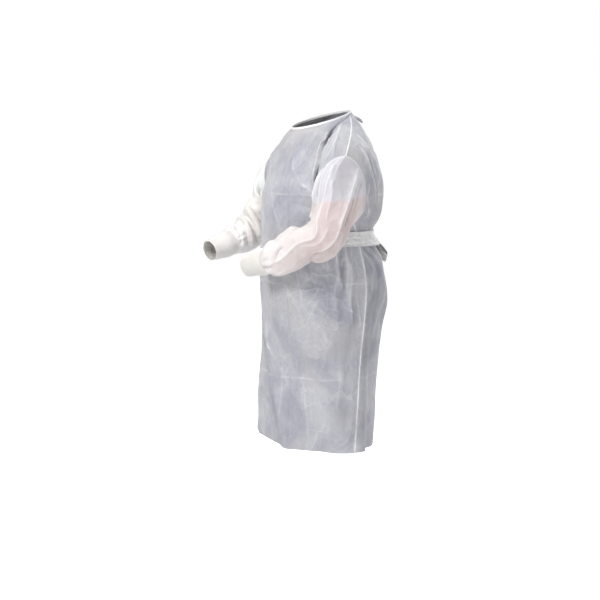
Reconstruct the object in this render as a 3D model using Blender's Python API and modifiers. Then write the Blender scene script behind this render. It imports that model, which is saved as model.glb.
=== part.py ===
"""A disposable isolation gown, worn: thin hollow cloth on a general figure, open at the neck, hem and
cuffs, lapped and tied behind.

Metres, +Z up. The front faces -Y, and the wearer's left is +X. The origin is in the middle of the
neck, level with the side of the neckline, where the gown hangs on its wearer.
"""

import math

import bpy
import numpy as np

GOWN = "isolation_gown"

# Cloth and seams
WALL = 0.0012
KNIT_WALL = 0.0018
BINDING_WALL = 0.0018
SEAM_GAP = 0.0004
PANEL_SEAM_GAP = 0.0009
SHOULDER_SEAM_GAP = 0.0013

# Neckline: a level ring round the neck, lower in front
NECK_RADIUS = 0.0907
NECK_FRONT_Z = -0.036
NECK_RISE = 0.053
NECK_SIDE_TURN = 139.0
BINDING_HEIGHT = 0.007
BINDING_LEAN = 0.16
NECK_CLEAR_FROM = 0.6
NECK_SLOPE = 0.05

# Where the shoulder seam ends, and the underarm
SHOULDER_POINT = (0.235, -0.034, -0.112)
SHOULDER_SAG = 0.012

# Mesh rows and columns
FRONT_COLUMNS = 24
BACK_SHOULDER_COLUMNS = 16
BACK_NECK_COLUMNS = 6
LAP_COLUMNS = 3
YOKE_ROWS = 9
SKIRT_ROW_Z = (
    -0.992, -0.925, -0.86, -0.79, -0.72, -0.655, -0.60, -0.55, -0.505,
    -0.468, -0.438, -0.412, -0.385, -0.358, -0.336, -0.320, -0.305,
)
HEM_TILT = 0.025
HEM_TILT_Z = -0.86

# Level sections below the underarm. front and back are depths at the centre, seam_y is where the
# side seam runs, and the square_ columns are superellipse powers: 2 is an ellipse, more is squarer.
SECTION_COLUMNS = (
    "z", "half_width", "front", "back", "seam_y", "square_left", "square_right", "square_back",
)
SECTIONS = (
    (-0.992, 0.226, 0.156, 0.120, 0.006, 1.9, 5.0, 2.4),
    (-0.860, 0.220, 0.159, 0.127, 0.018, 2.1, 4.0, 2.4),
    (-0.720, 0.213, 0.158, 0.138, 0.030, 2.3, 3.0, 2.4),
    (-0.600, 0.208, 0.166, 0.158, 0.045, 2.5, 2.5, 2.4),
    (-0.530, 0.204, 0.172, 0.173, 0.052, 2.5, 2.5, 2.4),
    (-0.468, 0.198, 0.176, 0.160, 0.052, 2.5, 2.5, 2.4),
    (-0.412, 0.191, 0.176, 0.148, 0.044, 2.5, 2.5, 2.4),
    (-0.358, 0.184, 0.172, 0.133, 0.034, 2.5, 2.5, 2.4),
    (-0.336, 0.184, 0.171, 0.130, 0.028, 2.5, 2.5, 2.4),
    (-0.305, 0.187, 0.169, 0.152, 0.016, 2.5, 2.5, 2.4),
)

# The yoke rises from the underarm row to the neckline and shoulder seams. Each station is a share
# of the way from the centre to the armhole, with two points that pull the cloth on its way up.
STATION_COLUMNS = ("share", "low_x", "low_y", "low_z", "high_x", "high_y", "high_z")
FRONT_STATIONS = (
    (0.00, 0.000, -0.174, -0.220, 0.000, -0.122, -0.080),
    (0.25, 0.090, -0.166, -0.215, 0.096, -0.108, -0.050),
    (0.50, 0.148, -0.148, -0.215, 0.122, -0.040, -0.014),
    (0.75, 0.172, -0.142, -0.235, 0.165, -0.102, -0.048),
    (1.00, 0.174, -0.140, -0.285, 0.206, -0.122, -0.112),
)
BACK_STATIONS = (
    (0.00, 0.000, 0.180, -0.235, 0.000, 0.148, -0.046),
    (0.25, 0.078, 0.173, -0.235, 0.070, 0.145, -0.044),
    (0.50, 0.134, 0.150, -0.230, 0.128, 0.132, -0.058),
    (0.75, 0.170, 0.120, -0.245, 0.172, 0.104, -0.080),
    (1.00, 0.176, 0.088, -0.285, 0.202, 0.060, -0.130),
)

# Largest folds, down each panel. across is -1 at the right side seam, 0 at the centre and 1 at the
# left side seam. height is out of the cloth, and a trough is less than 0.
FOLD_COLUMNS = ("across_top", "z_top", "across_low", "z_low", "half_width", "height")
FOLD_FADE = 0.22
SIDE_FADE = 0.10
FRONT_FOLDS = (
    (0.50, 0.000, 0.86, -0.205, 0.060, -0.012),
    (0.38, -0.010, 0.76, -0.225, 0.070, 0.007),
    (0.66, 0.010, 0.98, -0.150, 0.070, 0.006),
    (-0.50, 0.000, -0.84, -0.195, 0.065, -0.009),
    (-0.66, 0.010, -0.96, -0.150, 0.070, 0.006),
    (-0.20, -0.560, 0.46, -1.150, 0.120, 0.020),
    (0.30, -0.600, 0.78, -1.150, 0.120, -0.012),
    (-0.55, -0.640, -0.50, -1.150, 0.110, -0.008),
    (-0.80, -0.620, -0.72, -1.150, 0.090, 0.010),
)
BACK_FOLDS = (
    (0.62, -0.070, 0.55, -0.330, 0.090, 0.007),
    (0.40, -0.080, 0.38, -0.330, 0.080, -0.006),
    (-0.62, -0.070, -0.50, -0.330, 0.100, 0.006),
    (-0.36, -0.090, -0.30, -0.330, 0.080, -0.005),
    (0.84, -0.470, 0.70, -1.150, 0.100, -0.016),
    (0.52, -0.500, 0.42, -1.150, 0.100, 0.010),
    (0.12, -0.520, 0.16, -1.150, 0.110, -0.008),
    (-0.34, -0.520, -0.30, -1.150, 0.100, 0.010),
    (-0.70, -0.500, -0.62, -1.150, 0.100, -0.012),
)

# Gathers under the waist ties: waves across each half of the back, and their height at each level
GATHERS_A_HALF = 7
FRONT_GATHER_START = 0.74
GATHER_COLUMNS = ("z", "height")
GATHER_HEIGHTS = (
    (-0.900, 0.0000), (-0.700, 0.0008), (-0.600, 0.0025), (-0.500, 0.0045), (-0.430, 0.0050),
    (-0.385, 0.0022), (-0.358, 0.0014), (-0.336, 0.0018), (-0.300, 0.0045), (-0.240, 0.0035),
    (-0.170, 0.0012), (-0.100, 0.0000),
)

# Half the back, in shares: the neckline ends at NECK_SHARE, and each panel passes the centre by LAP.
# The left panel rises off the other by LAP_RISE, from LAP_START to LAP_BLEND nearer the centre.
NECK_SHARE = 0.25
LAP = 0.125
LAP_RISE = 0.0034
LAP_START = 0.42
LAP_BLEND = 0.17

# Sleeves: centre of each ring and its half sizes, to the side crease and to the front
SLEEVE_COLUMNS = ("x", "y", "z", "half_side", "half_front")
ARMHOLE_HALVES = (0.095, 0.085)
LEFT_SLEEVE = (
    (0.2310, -0.052, -0.230, 0.078, 0.068),
    (0.2480, -0.074, -0.268, 0.063, 0.060),
    (0.2500, -0.090, -0.300, 0.056, 0.062),
    (0.2490, -0.103, -0.331, 0.056, 0.062),
    (0.2385, -0.122, -0.353, 0.057, 0.060),
    (0.2170, -0.149, -0.363, 0.056, 0.054),
    (0.1850, -0.173, -0.381, 0.055, 0.058),
    (0.1560, -0.191, -0.397, 0.054, 0.059),
    (0.1300, -0.206, -0.409, 0.050, 0.055),
    (0.1130, -0.215, -0.415, 0.043, 0.046),
    (0.1020, -0.2205, -0.4185, 0.038, 0.039),
)
RIGHT_SLEEVE = (
    (-0.2310, -0.034, -0.228, 0.078, 0.086),
    (-0.2500, -0.054, -0.261, 0.061, 0.090),
    (-0.2530, -0.073, -0.293, 0.056, 0.087),
    (-0.2530, -0.094, -0.321, 0.055, 0.075),
    (-0.2500, -0.117, -0.348, 0.053, 0.062),
    (-0.2460, -0.145, -0.368, 0.051, 0.055),
    (-0.2400, -0.172, -0.379, 0.048, 0.050),
    (-0.2340, -0.192, -0.386, 0.043, 0.045),
    (-0.2300, -0.206, -0.390, 0.038, 0.039),
)
SLEEVE_RINGS = 26
SLEEVE_BLEND_RINGS = 7
CREASE_RISE = 0.05
CREASE_HALF_TURN = 0.3

# Largest folds of the sleeves: share is the place down the sleeve, turn is the place round it from the
# top crease towards the front, in degrees, and slant moves the fold down the sleeve for each turn
SLEEVE_FOLD_COLUMNS = ("share", "turn", "half_share", "half_turn", "slant", "height")
LEFT_SLEEVE_FOLDS = (
    (0.30, 70.0, 0.055, 50.0, 0.10, -0.009),
    (0.42, 95.0, 0.045, 55.0, -0.06, 0.007),
    (0.52, 85.0, 0.040, 60.0, -0.08, -0.009),
    (0.62, 70.0, 0.040, 60.0, 0.06, 0.006),
    (0.76, 60.0, 0.045, 70.0, 0.10, -0.005),
    (0.88, 250.0, 0.050, 80.0, 0.05, 0.005),
    (0.48, 255.0, 0.060, 60.0, 0.00, 0.004),
)
RIGHT_SLEEVE_FOLDS = (
    (0.32, 75.0, 0.055, 50.0, 0.08, -0.008),
    (0.46, 90.0, 0.045, 60.0, -0.05, 0.008),
    (0.56, 80.0, 0.040, 70.0, 0.06, -0.010),
    (0.66, 60.0, 0.040, 80.0, 0.08, 0.008),
    (0.76, 40.0, 0.040, 80.0, 0.08, -0.007),
    (0.86, 30.0, 0.040, 90.0, 0.06, 0.006),
)

# Knitted cuffs
CUFF_LENGTH = 0.085
CUFF_RINGS = 6
CUFF_COLUMNS = ("along", "half_size")
CUFF_SIZES = ((0.0, 0.0380), (0.25, 0.0395), (0.6, 0.0350), (1.0, 0.0310))

# Waist ties: strips from the sides of the front round the back, flared at their lower edge
TIE_Z = (-0.380, -0.366, -0.352, -0.336)
TIE_FLARE = (0.0120, 0.0060, 0.0018, 0.0)
TIE_CLEAR = 0.0010
TIE_FRONT_START = 0.80
TIE_COLUMNS = 26
MEASURE_POINTS = 40
TIE_FLARE_BEGUN = 0.5
TIE_FLARE_END = 0.72
TIE_END_X = 0.0008
TIE_LAP_STARTS = {"left": 0.42, "right": 0.30}

# Bows: the knot's height and half sizes, then the loops and free ends that come out of it. splay is
# the lean from straight down, in degrees, and clear is how far the knot lies off the cloth.
BOW_COLUMNS = (
    "knot_z", "half_x", "half_y", "half_z", "clear", "width",
    "loop", "open", "loop_splay", "tail", "tail_splay",
)
BOWS = {
    "waist": (-0.366, 0.0200, 0.0150, 0.0190, 0.0033, 0.034, 0.100, 0.0110, 48.0, 0.250, 9.0),
    "neck": (0.0040, 0.0062, 0.0042, 0.0055, 0.0005, 0.009, 0.040, 0.0036, 62.0, 0.115, 14.0),
}
LOOP_POINTS = 22
TAIL_POINTS = 14
ROOT_SHARE = 0.42
ROOT_GAP = 0.0020
TAIL_APART = 1.06
TAIL_CLEAR = 0.0012
KNOT_ROUNDING = 0.35

# Colours of the two weights of cloth, the knit and the strips
BODY_CLOTH = (0.62, 0.65, 0.69)
SLEEVE_CLOTH = (0.74, 0.71, 0.71)
KNIT_CLOTH = (0.82, 0.80, 0.76)
STRIP_CLOTH = (0.78, 0.78, 0.79)


def column(table, names, name):
    """One named column of a table."""
    return np.array([row[names.index(name)] for row in table], float)


def smooth_value(at, xs, ys):
    """Reads ys at a place between xs on a soft curve through every point. xs rise."""
    xs = np.asarray(xs, float)
    ys = np.asarray(ys, float)
    slopes = np.gradient(ys, xs, axis=0)
    at = np.clip(np.asarray(at, float), xs[0], xs[-1])
    low = np.clip(np.searchsorted(xs, at, side="right") - 1, 0, len(xs) - 2)
    step = xs[low + 1] - xs[low]
    part = (at - xs[low]) / step
    if ys.ndim > 1:
        step = step[..., None]
        part = part[..., None]
    start = (2 * part**3 - 3 * part**2 + 1) * ys[low] + (part**3 - 2 * part**2 + part) * step * slopes[low]
    end = (3 * part**2 - 2 * part**3) * ys[low + 1] + (part**3 - part**2) * step * slopes[low + 1]
    return start + end


def soft_step(value):
    value = np.clip(value, 0.0, 1.0)
    return value * value * (3 - 2 * value)


def even_points(curve, shares):
    """Points of a fine curve at the given shares of its length."""
    lengths = np.concatenate([[0.0], np.cumsum(np.linalg.norm(np.diff(curve, axis=0), axis=1))])
    return np.stack(
        [np.interp(np.asarray(shares) * lengths[-1], lengths, curve[:, axis]) for axis in range(3)], axis=1
    )


def section_size(name, z):
    table = SECTIONS
    return float(smooth_value(z, column(table, SECTION_COLUMNS, "z"), column(table, SECTION_COLUMNS, name)))


def half_section(z, side, depth, power):
    """A quarter of a level section, from the centre to the side seam. side is 1 left, -1 right."""
    turn = np.linspace(0.0, math.pi / 2, 120)
    seam_y = section_size("seam_y", z)
    x = side * section_size("half_width", z) * np.sin(turn) ** (2 / power)
    y = seam_y + (depth - seam_y) * np.cos(turn).clip(0) ** (2 / power)
    tilt = HEM_TILT * max(0.0, (HEM_TILT_Z - z) / (HEM_TILT_Z - SKIRT_ROW_Z[0]))
    return np.stack([x, y, z - tilt * x], axis=1)


def front_section(z, across):
    """The front of a level section at places from -1, the right seam, to 1, the left seam."""
    depth = -section_size("front", z)
    left = half_section(z, 1, depth, section_size("square_left", z))
    right = half_section(z, -1, depth, section_size("square_right", z))
    return signed_places(left, right, across)


def back_section(z, across):
    depth = section_size("back", z)
    power = section_size("square_back", z)
    return signed_places(half_section(z, 1, depth, power), half_section(z, -1, depth, power), across)


def signed_places(left, right, across):
    across = np.asarray(across, float)
    on_left = even_points(left, np.abs(across))
    on_right = even_points(right, np.abs(across))
    return np.where((across >= 0)[:, None], on_left, on_right)


def neck_point(turn):
    """The neckline at a turn in degrees from the front centre, towards the left."""
    angle = math.radians(turn)
    z = NECK_FRONT_Z + NECK_RISE * math.sin(angle / 2) ** 2
    return np.array([NECK_RADIUS * math.sin(angle), -NECK_RADIUS * math.cos(angle), z])


def shoulder_seam(share):
    """The left shoulder seam, from the neckline to the shoulder point."""
    start = neck_point(NECK_SIDE_TURN)
    end = np.array(SHOULDER_POINT)
    lift = SHOULDER_SAG * math.sin(math.pi * share)
    return start + (end - start) * share + np.array([0.0, lift, lift])


def top_row(across, neck_share, centre_turn):
    """The neckline and shoulder seams: the top edge of the front or of the back."""
    points = []
    for place in across:
        share = abs(place)
        if share <= neck_share:
            turn = centre_turn + (NECK_SIDE_TURN - centre_turn) * share / neck_share
            point = neck_point(turn)
        else:
            point = shoulder_seam((share - neck_share) / (1 - neck_share))
        points.append(point * np.array([1.0 if place >= 0 else -1.0, 1.0, 1.0]))
    return np.array(points)


def pull_row(stations, level, across):
    """The low or high pulling points at each place across."""
    shares = column(stations, STATION_COLUMNS, "share")
    places = np.concatenate([-shares[:0:-1], shares])
    coordinates = []
    for axis in "xyz":
        values = column(stations, STATION_COLUMNS, level + "_" + axis)
        mirrored = values[:0:-1] * (-1 if axis == "x" else 1)
        coordinates.append(smooth_value(across, places, np.concatenate([mirrored, values])))
    return np.stack(coordinates, axis=1)


def yoke_rows(underarm, stations, top, across):
    """Rows above the underarm row, each column a Bezier curve up to the top row."""
    low = pull_row(stations, "low", across)
    high = pull_row(stations, "high", across)
    rows = []
    for index in range(1, YOKE_ROWS + 1):
        up = index / YOKE_ROWS
        down = 1 - up
        row = down**3 * underarm + 3 * down**2 * up * low + 3 * down * up**2 * high + up**3 * top
        rows.append(outside_neck(row, down) if up > NECK_CLEAR_FROM else row)
    return rows


def outside_neck(row, down):
    """Moves the points of a row near the neckline out, where they would cross into the neck."""
    radius = np.linalg.norm(row[:, :2], axis=1)
    least = NECK_RADIUS + NECK_SLOPE * down
    out = np.maximum(1.0, least / radius)
    return row * np.stack([out, out, np.ones(len(row))], axis=1)


def front_base():
    across = np.linspace(-1, 1, FRONT_COLUMNS + 1)
    rows = [front_section(z, across) for z in SKIRT_ROW_Z]
    top = top_row(across, 0.5, 0.0)
    rows += yoke_rows(rows[-1], FRONT_STATIONS, top, across)
    return np.array(rows), np.tile(across, (len(rows), 1))


def back_base(side):
    """One back panel's rows, from its side seam to past the centre."""
    shoulder = np.linspace(1.0, NECK_SHARE, BACK_SHOULDER_COLUMNS + 1)
    neck = np.linspace(NECK_SHARE, -LAP, BACK_NECK_COLUMNS + LAP_COLUMNS + 1)[1:]
    across = side * np.concatenate([shoulder, neck])
    rows = [back_section(z, across) for z in SKIRT_ROW_Z]
    top = top_row(across, NECK_SHARE, 180.0)
    rows += yoke_rows(rows[-1], BACK_STATIONS, top, across)
    return np.array(rows), np.tile(across, (len(rows), 1))


def outward(grid):
    """Unit normals of a grid of points, facing away from the middle of the gown."""
    along = np.gradient(grid, axis=0)
    across = np.gradient(grid, axis=1)
    normal = np.cross(along, across)
    normal /= np.linalg.norm(normal, axis=2, keepdims=True) + 1e-12
    middle = np.array([0.0, 0.0, -0.3])
    facing = np.sum(normal[: len(SKIRT_ROW_Z)] * (grid[: len(SKIRT_ROW_Z)] - middle) * (1, 1, 0))
    return normal if facing > 0 else -normal


def fold_heights(folds, across, z):
    """How far the folds lift each point."""
    total = np.zeros_like(z)
    for row in folds:
        fold = dict(zip(FOLD_COLUMNS, row))
        down = (fold["z_top"] - z) / (fold["z_top"] - fold["z_low"])
        middle = fold["across_top"] + (fold["across_low"] - fold["across_top"]) * down
        fade = soft_step(down / FOLD_FADE) * soft_step((1 - down) / FOLD_FADE)
        total += fold["height"] * fade * np.exp(-(((across - middle) / fold["half_width"]) ** 2))
    return total


def gather_heights(across, z):
    """Waves drawn in by the waist ties. across counts from the centre back."""
    heights = smooth_value(z, column(GATHER_HEIGHTS, GATHER_COLUMNS, "z"),
                           column(GATHER_HEIGHTS, GATHER_COLUMNS, "height"))
    turns = across * GATHERS_A_HALF
    uneven = 0.75 + 0.25 * np.sin(1.7 * turns + 0.6)
    return heights * uneven * np.cos(2 * math.pi * turns + 0.8 * np.sin(1.3 * turns))


def keep_edges(grid):
    """1 inside a panel and 0 on its shoulder and neck edges, so that seams still meet."""
    rows, columns = grid.shape[:2]
    from_top = (rows - 1 - np.arange(rows)) / 3.0
    return np.tile(soft_step(from_top)[:, None], (1, columns))


def front_panel_points():
    base, across = front_base()
    from_seam = 1 - np.abs(across)
    z = base[..., 2]
    near_seam = soft_step((np.abs(across) - FRONT_GATHER_START) / SIDE_FADE)
    lift = fold_heights(FRONT_FOLDS, across, z) * soft_step(from_seam / SIDE_FADE)
    lift = (lift + gather_heights(1 + from_seam, z) * near_seam) * keep_edges(base)
    lift[len(SKIRT_ROW_Z) - 1 :, [0, -1]] = 0.0
    points = base + outward(base) * lift[..., None]
    return set_seams_apart(points, base, -1)


def back_panel_points(side):
    base, across = back_base(side)
    z = base[..., 2]
    from_seam = 1 - side * across
    lift = fold_heights(BACK_FOLDS, across, z) * soft_step(from_seam / SIDE_FADE)
    lift = (lift + gather_heights(np.abs(across), z)) * keep_edges(base)
    lift[len(SKIRT_ROW_Z) - 1 :, 0] = 0.0
    if side > 0:
        lift = lift + LAP_RISE * soft_step((LAP_START - across) / LAP_BLEND)
    points = base + outward(base) * lift[..., None]
    return set_seams_apart(points, base, 1)


def set_seams_apart(points, base, towards):
    """Draws a panel's side and shoulder edges back from its neighbour. towards is its way along Y."""
    points = points.copy()
    seam_columns = [0, -1] if towards < 0 else [0]
    points[: len(SKIRT_ROW_Z), seam_columns, 1] += towards * PANEL_SEAM_GAP / 2
    at_shoulder = np.abs(base[-1, :, 0]) >= abs(neck_point(NECK_SIDE_TURN)[0]) - 1e-6
    points[-1, :, 1] += towards * SHOULDER_SEAM_GAP / 2 * at_shoulder
    return points


def armhole(side, front, back):
    """The armhole edge, from the shoulder point down the front and up the back."""
    first = len(SKIRT_ROW_Z) - 1
    front_edge = front[first:, -1 if side > 0 else 0]
    back_edge = back[first:, 0]
    shoulder = (front_edge[-1] + back_edge[-1]) / 2
    under = (front_edge[0] + back_edge[0]) / 2
    return np.array([shoulder, *front_edge[-2:0:-1], under, *back_edge[1:-1]])


def sleeve_fold_heights(folds, share, turns):
    """How far the folds of a sleeve lift one ring."""
    total = np.zeros_like(turns)
    for row in folds:
        fold = dict(zip(SLEEVE_FOLD_COLUMNS, row))
        apart = (turns - math.radians(fold["turn"]) + math.pi) % (2 * math.pi) - math.pi
        along = (share - fold["share"] - fold["slant"] * apart) / fold["half_share"]
        total += fold["height"] * np.exp(-(along**2) - (apart / math.radians(fold["half_turn"])) ** 2)
    return total


def sleeve_points(side, edge, table, folds):
    """Rings from the armhole to the cuff seam, each turned to follow the arm."""
    start = edge.mean(axis=0)
    centres = np.vstack([start, np.array(table)[:, :3]])
    half_side = np.concatenate([[ARMHOLE_HALVES[0]], column(table, SLEEVE_COLUMNS, "half_side")])
    half_front = np.concatenate([[ARMHOLE_HALVES[1]], column(table, SLEEVE_COLUMNS, "half_front")])
    along = np.linspace(0.0, len(centres) - 1.0, SLEEVE_RINGS)
    steps = np.arange(len(centres))
    centre = smooth_value(along, steps, centres)
    side_size = smooth_value(along, steps, half_side)
    front_size = smooth_value(along, steps, half_front)
    ways = np.gradient(centre, axis=0)
    ways[0] = (side, 0.0, 0.0)
    ways /= np.linalg.norm(ways, axis=1, keepdims=True)
    turns = 2 * math.pi * np.arange(len(edge)) / len(edge)
    from_crease = np.minimum(turns, 2 * math.pi - turns)
    pointed = 1 + CREASE_RISE * np.exp(-((from_crease / CREASE_HALF_TURN) ** 2))
    crease = np.array([0.0, 0.0, 1.0])
    rings = []
    for index, way in enumerate(ways):
        crease = crease - way * np.dot(crease, way)
        crease /= np.linalg.norm(crease)
        front = np.cross(way, crease) * side
        share = index / (SLEEVE_RINGS - 1)
        lift = sleeve_fold_heights(folds, share, turns) * soft_step((1 - share) / SIDE_FADE)
        to_side = side_size[index] * pointed + lift
        to_front = front_size[index] + lift
        ring = (
            centre[index]
            + crease * (to_side * np.cos(turns))[:, None]
            + front * (to_front * np.sin(turns))[:, None]
        )
        blend = soft_step(index / SLEEVE_BLEND_RINGS)
        moved = edge + np.array([side * SEAM_GAP, 0, 0]) + (centre[index] - start) * (1 if index else 0)
        rings.append(moved * (1 - blend) + ring * blend)
    return np.array(rings), crease, ways[-1]


def cuff_points(side, last_ring, crease, way):
    """A short knitted tube that carries on from the sleeve's last ring."""
    middle = last_ring.mean(axis=0)
    front = np.cross(way, crease) * side
    turns = 2 * math.pi * np.arange(len(last_ring)) / len(last_ring)
    round_ring = crease * np.cos(turns)[:, None] + front * np.sin(turns)[:, None]
    shares = np.linspace(0.0, 1.0, CUFF_RINGS)
    sizes = smooth_value(shares, column(CUFF_SIZES, CUFF_COLUMNS, "along"),
                         column(CUFF_SIZES, CUFF_COLUMNS, "half_size"))
    rings = []
    for share, size in zip(shares, sizes):
        place = middle + way * (SEAM_GAP + CUFF_LENGTH * share)
        rings.append(place + round_ring * size)
    rings[0] = last_ring + way * SEAM_GAP
    return np.array(rings)


def loft(name, grid, wall, colour, closed=False):
    """A cloth wall of even thickness, inward from a grid of points on its outer face."""
    rows, columns = grid.shape[:2]
    span = columns if closed else columns - 1
    faces = []
    for row in range(rows - 1):
        for place in range(span):
            here = row * columns + place
            beside = row * columns + (place + 1) % columns
            faces.append((here, beside, beside + columns, here + columns))
    mesh = bpy.data.meshes.new(name)
    mesh.from_pydata([tuple(point) for point in grid.reshape(-1, 3)], [], faces)
    mesh.update()
    mesh.shade_smooth()
    piece = bpy.data.objects.new(name, mesh)
    bpy.data.collections[GOWN].objects.link(piece)
    solidify = piece.modifiers.new("cloth_wall", "SOLIDIFY")
    solidify.thickness = wall
    solidify.offset = -1.0
    piece.data.materials.append(cloth(name, colour))
    return piece


def cloth(name, colour):
    """The matt white material of one piece."""
    material = bpy.data.materials.new(name)
    material.use_nodes = True
    shader = material.node_tree.nodes["Principled BSDF"]
    shader.inputs["Base Color"].default_value = (*colour, 1.0)
    shader.inputs["Roughness"].default_value = 0.8
    shader.inputs["Metallic"].default_value = 0.0
    return material


def level_normals(points):
    """Level directions out of a row of points that runs round the body."""
    ways = np.gradient(points, axis=0)
    normals = np.stack([ways[:, 1], -ways[:, 0], np.zeros(len(points))], axis=1)
    normals /= np.linalg.norm(normals, axis=1, keepdims=True)
    return normals * np.sign(np.sum(normals * points, axis=1, keepdims=True))


def waist_tie_points(side):
    """A strip that lies on the gathers, from the side of the front to the knot."""
    back_line = back_section(TIE_Z[1], np.linspace(0, 1, MEASURE_POINTS))
    half_back = np.linalg.norm(np.diff(back_line, axis=0), axis=1).sum()
    end = TIE_END_X / half_back
    in_front = np.linspace(TIE_FRONT_START, 1.0, 5)
    behind = np.linspace(1.0, end, TIE_COLUMNS - 4)[1:]
    share_round = np.linspace(0.0, 1.0, len(in_front) + len(behind))
    to_knot = (share_round - TIE_FLARE_END) / (1 - TIE_FLARE_END)
    flared = soft_step(share_round / TIE_FLARE_BEGUN) * (1 - soft_step(to_knot))
    lap_start = TIE_LAP_STARTS["left" if side > 0 else "right"]
    lap = np.concatenate([np.zeros(len(in_front)), soft_step((lap_start - behind) / LAP_BLEND)])
    rows = []
    for z, flare in zip(TIE_Z, TIE_FLARE):
        row = np.vstack([front_section(z, side * in_front), back_section(z, side * behind)])
        gather = smooth_value(z, column(GATHER_HEIGHTS, GATHER_COLUMNS, "z"),
                              column(GATHER_HEIGHTS, GATHER_COLUMNS, "height"))
        out = gather + TIE_CLEAR + WALL + flare * flared + LAP_RISE * lap
        rows.append(row + level_normals(row) * out[:, None])
    return np.array(rows)


def binding_points(front, backs):
    """The folded binding, from its outer end behind the neck, round the front, to its inner end."""
    quarter = FRONT_COLUMNS // 4
    neck_columns = slice(BACK_SHOULDER_COLUMNS, None)
    in_front = front[-1, quarter : 3 * quarter + 1][::-1]
    left = backs[1][-1, neck_columns][::-1]
    right = backs[-1][-1, neck_columns]
    path = np.vstack([left, in_front[1:-1], right])
    level = path * (1, 1, 0)
    inward = -level / np.linalg.norm(level, axis=1, keepdims=True)
    rise = np.array([0.0, 0.0, 1.0]) + BINDING_LEAN * inward
    lowest = SEAM_GAP + BINDING_LEAN * BINDING_WALL
    heights = lowest + np.linspace(0.0, BINDING_HEIGHT, 3)
    return np.array([path + rise * height for height in heights])


def bow_size(name, size):
    return BOWS[name][BOW_COLUMNS.index(size)]


def off_back(z, out, centre_line):
    """Y at a height, for a point that lies out from the centre line of the outer back panel."""
    heights = centre_line[:, 2]
    depths = centre_line[:, 1]
    slope = np.interp(z, heights, np.gradient(depths, heights))
    return np.interp(z, heights, depths) + out * np.sqrt(1 + slope**2)


def knot_place(name, centre_line):
    """The centre of a knot, and its lean with the cloth behind it."""
    z = bow_size(name, "knot_z")
    half_z = bow_size(name, "half_z")
    above, below = off_back(np.array([z + half_z, z - half_z]), 0.0, centre_line)
    lean = math.atan2(below - above, 2 * half_z)
    out = bow_size(name, "half_y") + bow_size(name, "clear")
    y = float(off_back(z, 0.0, centre_line))
    return (0.0, y + out * math.cos(lean), z + out * math.sin(lean)), lean


def knot(name, centre_line):
    """A soft knot: a rounded block."""
    centre, lean = knot_place(name, centre_line)
    halves = [bow_size(name, size) for size in ("half_x", "half_y", "half_z")]
    bpy.ops.mesh.primitive_cube_add(size=2.0, location=centre)
    piece = bpy.context.object
    piece.name = name + "_knot"
    piece.data.name = piece.name
    piece.rotation_euler.x = lean
    for vertex in piece.data.vertices:
        vertex.co = [value * half for value, half in zip(vertex.co, halves)]
    rounding = piece.modifiers.new("rounding", "BEVEL")
    rounding.width = min(halves) * KNOT_ROUNDING
    rounding.segments = 3
    for collection in list(piece.users_collection):
        collection.objects.unlink(piece)
    bpy.data.collections[GOWN].objects.link(piece)
    piece.data.materials.append(cloth(piece.name, STRIP_CLOTH))


def hanging_strip(name, centre_line, start, side, splay, along, out, narrow):
    """Rows across a strip that hangs down the back. along and out are its path down and off the cloth."""
    lean = math.radians(splay)
    rows = []
    for half in (-0.5, 0.0, 0.5):
        off = half * bow_size(name, "width") * narrow
        x = start[0] + side * (math.sin(lean) * along + math.cos(lean) * off)
        z = start[1] - math.cos(lean) * along + math.sin(lean) * off
        rows.append(np.stack([x, off_back(z, out, centre_line), z], axis=1))
    return np.array(rows)


def bow_loop(name, side, centre_line):
    """One loop: out from the side of the knot, down to its tip and back beneath itself."""
    turn = np.linspace(0.0, 2 * math.pi, LOOP_POINTS)
    share = (1 - np.cos(turn)) / 2
    opened = bow_size(name, "open")
    root = bow_size(name, "clear") + bow_size(name, "half_y")
    hanging = bow_size(name, "clear") + WALL + opened
    middle = root + (hanging - root) * soft_step(share / ROOT_SHARE)
    out = middle + opened * np.sin(turn) * share + ROOT_GAP * np.cos(turn / 2)
    narrow = ROOT_SHARE + (1 - ROOT_SHARE) * soft_step(share / ROOT_SHARE)
    root_half = ROOT_SHARE * bow_size(name, "width") / 2
    splay = bow_size(name, "loop_splay")
    beside = bow_size(name, "half_x") + SEAM_GAP + root_half * math.cos(math.radians(splay))
    start = (side * beside, knot_place(name, centre_line)[0][2])
    along = share * bow_size(name, "loop")
    return hanging_strip(name, centre_line, start, side, splay, along, out, narrow)


def bow_tail(name, side, centre_line):
    """One free end, hanging straight down the back from the bottom of the knot."""
    share = np.linspace(0.0, 1.0, TAIL_POINTS)
    narrow = ROOT_SHARE + (1 - ROOT_SHARE) * soft_step(share / ROOT_SHARE)
    root_half = ROOT_SHARE * bow_size(name, "width") / 2
    splay = bow_size(name, "tail_splay")
    centre, lean = knot_place(name, centre_line)
    below = (bow_size(name, "half_z") + SEAM_GAP) * math.cos(lean)
    drop = below + root_half * math.sin(math.radians(splay))
    start = (side * root_half * TAIL_APART, centre[2] - drop)
    root = bow_size(name, "clear") + bow_size(name, "half_y")
    hanging = bow_size(name, "clear") + WALL + TAIL_CLEAR
    out = root + (hanging - root) * soft_step(share / ROOT_SHARE)
    along = share * bow_size(name, "tail")
    return hanging_strip(name, centre_line, start, side, splay, along, out, narrow)


def clear_scene():
    for item in list(bpy.data.objects):
        bpy.data.objects.remove(item, do_unlink=True)
    bpy.context.scene.collection.children.link(bpy.data.collections.new(GOWN))


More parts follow.
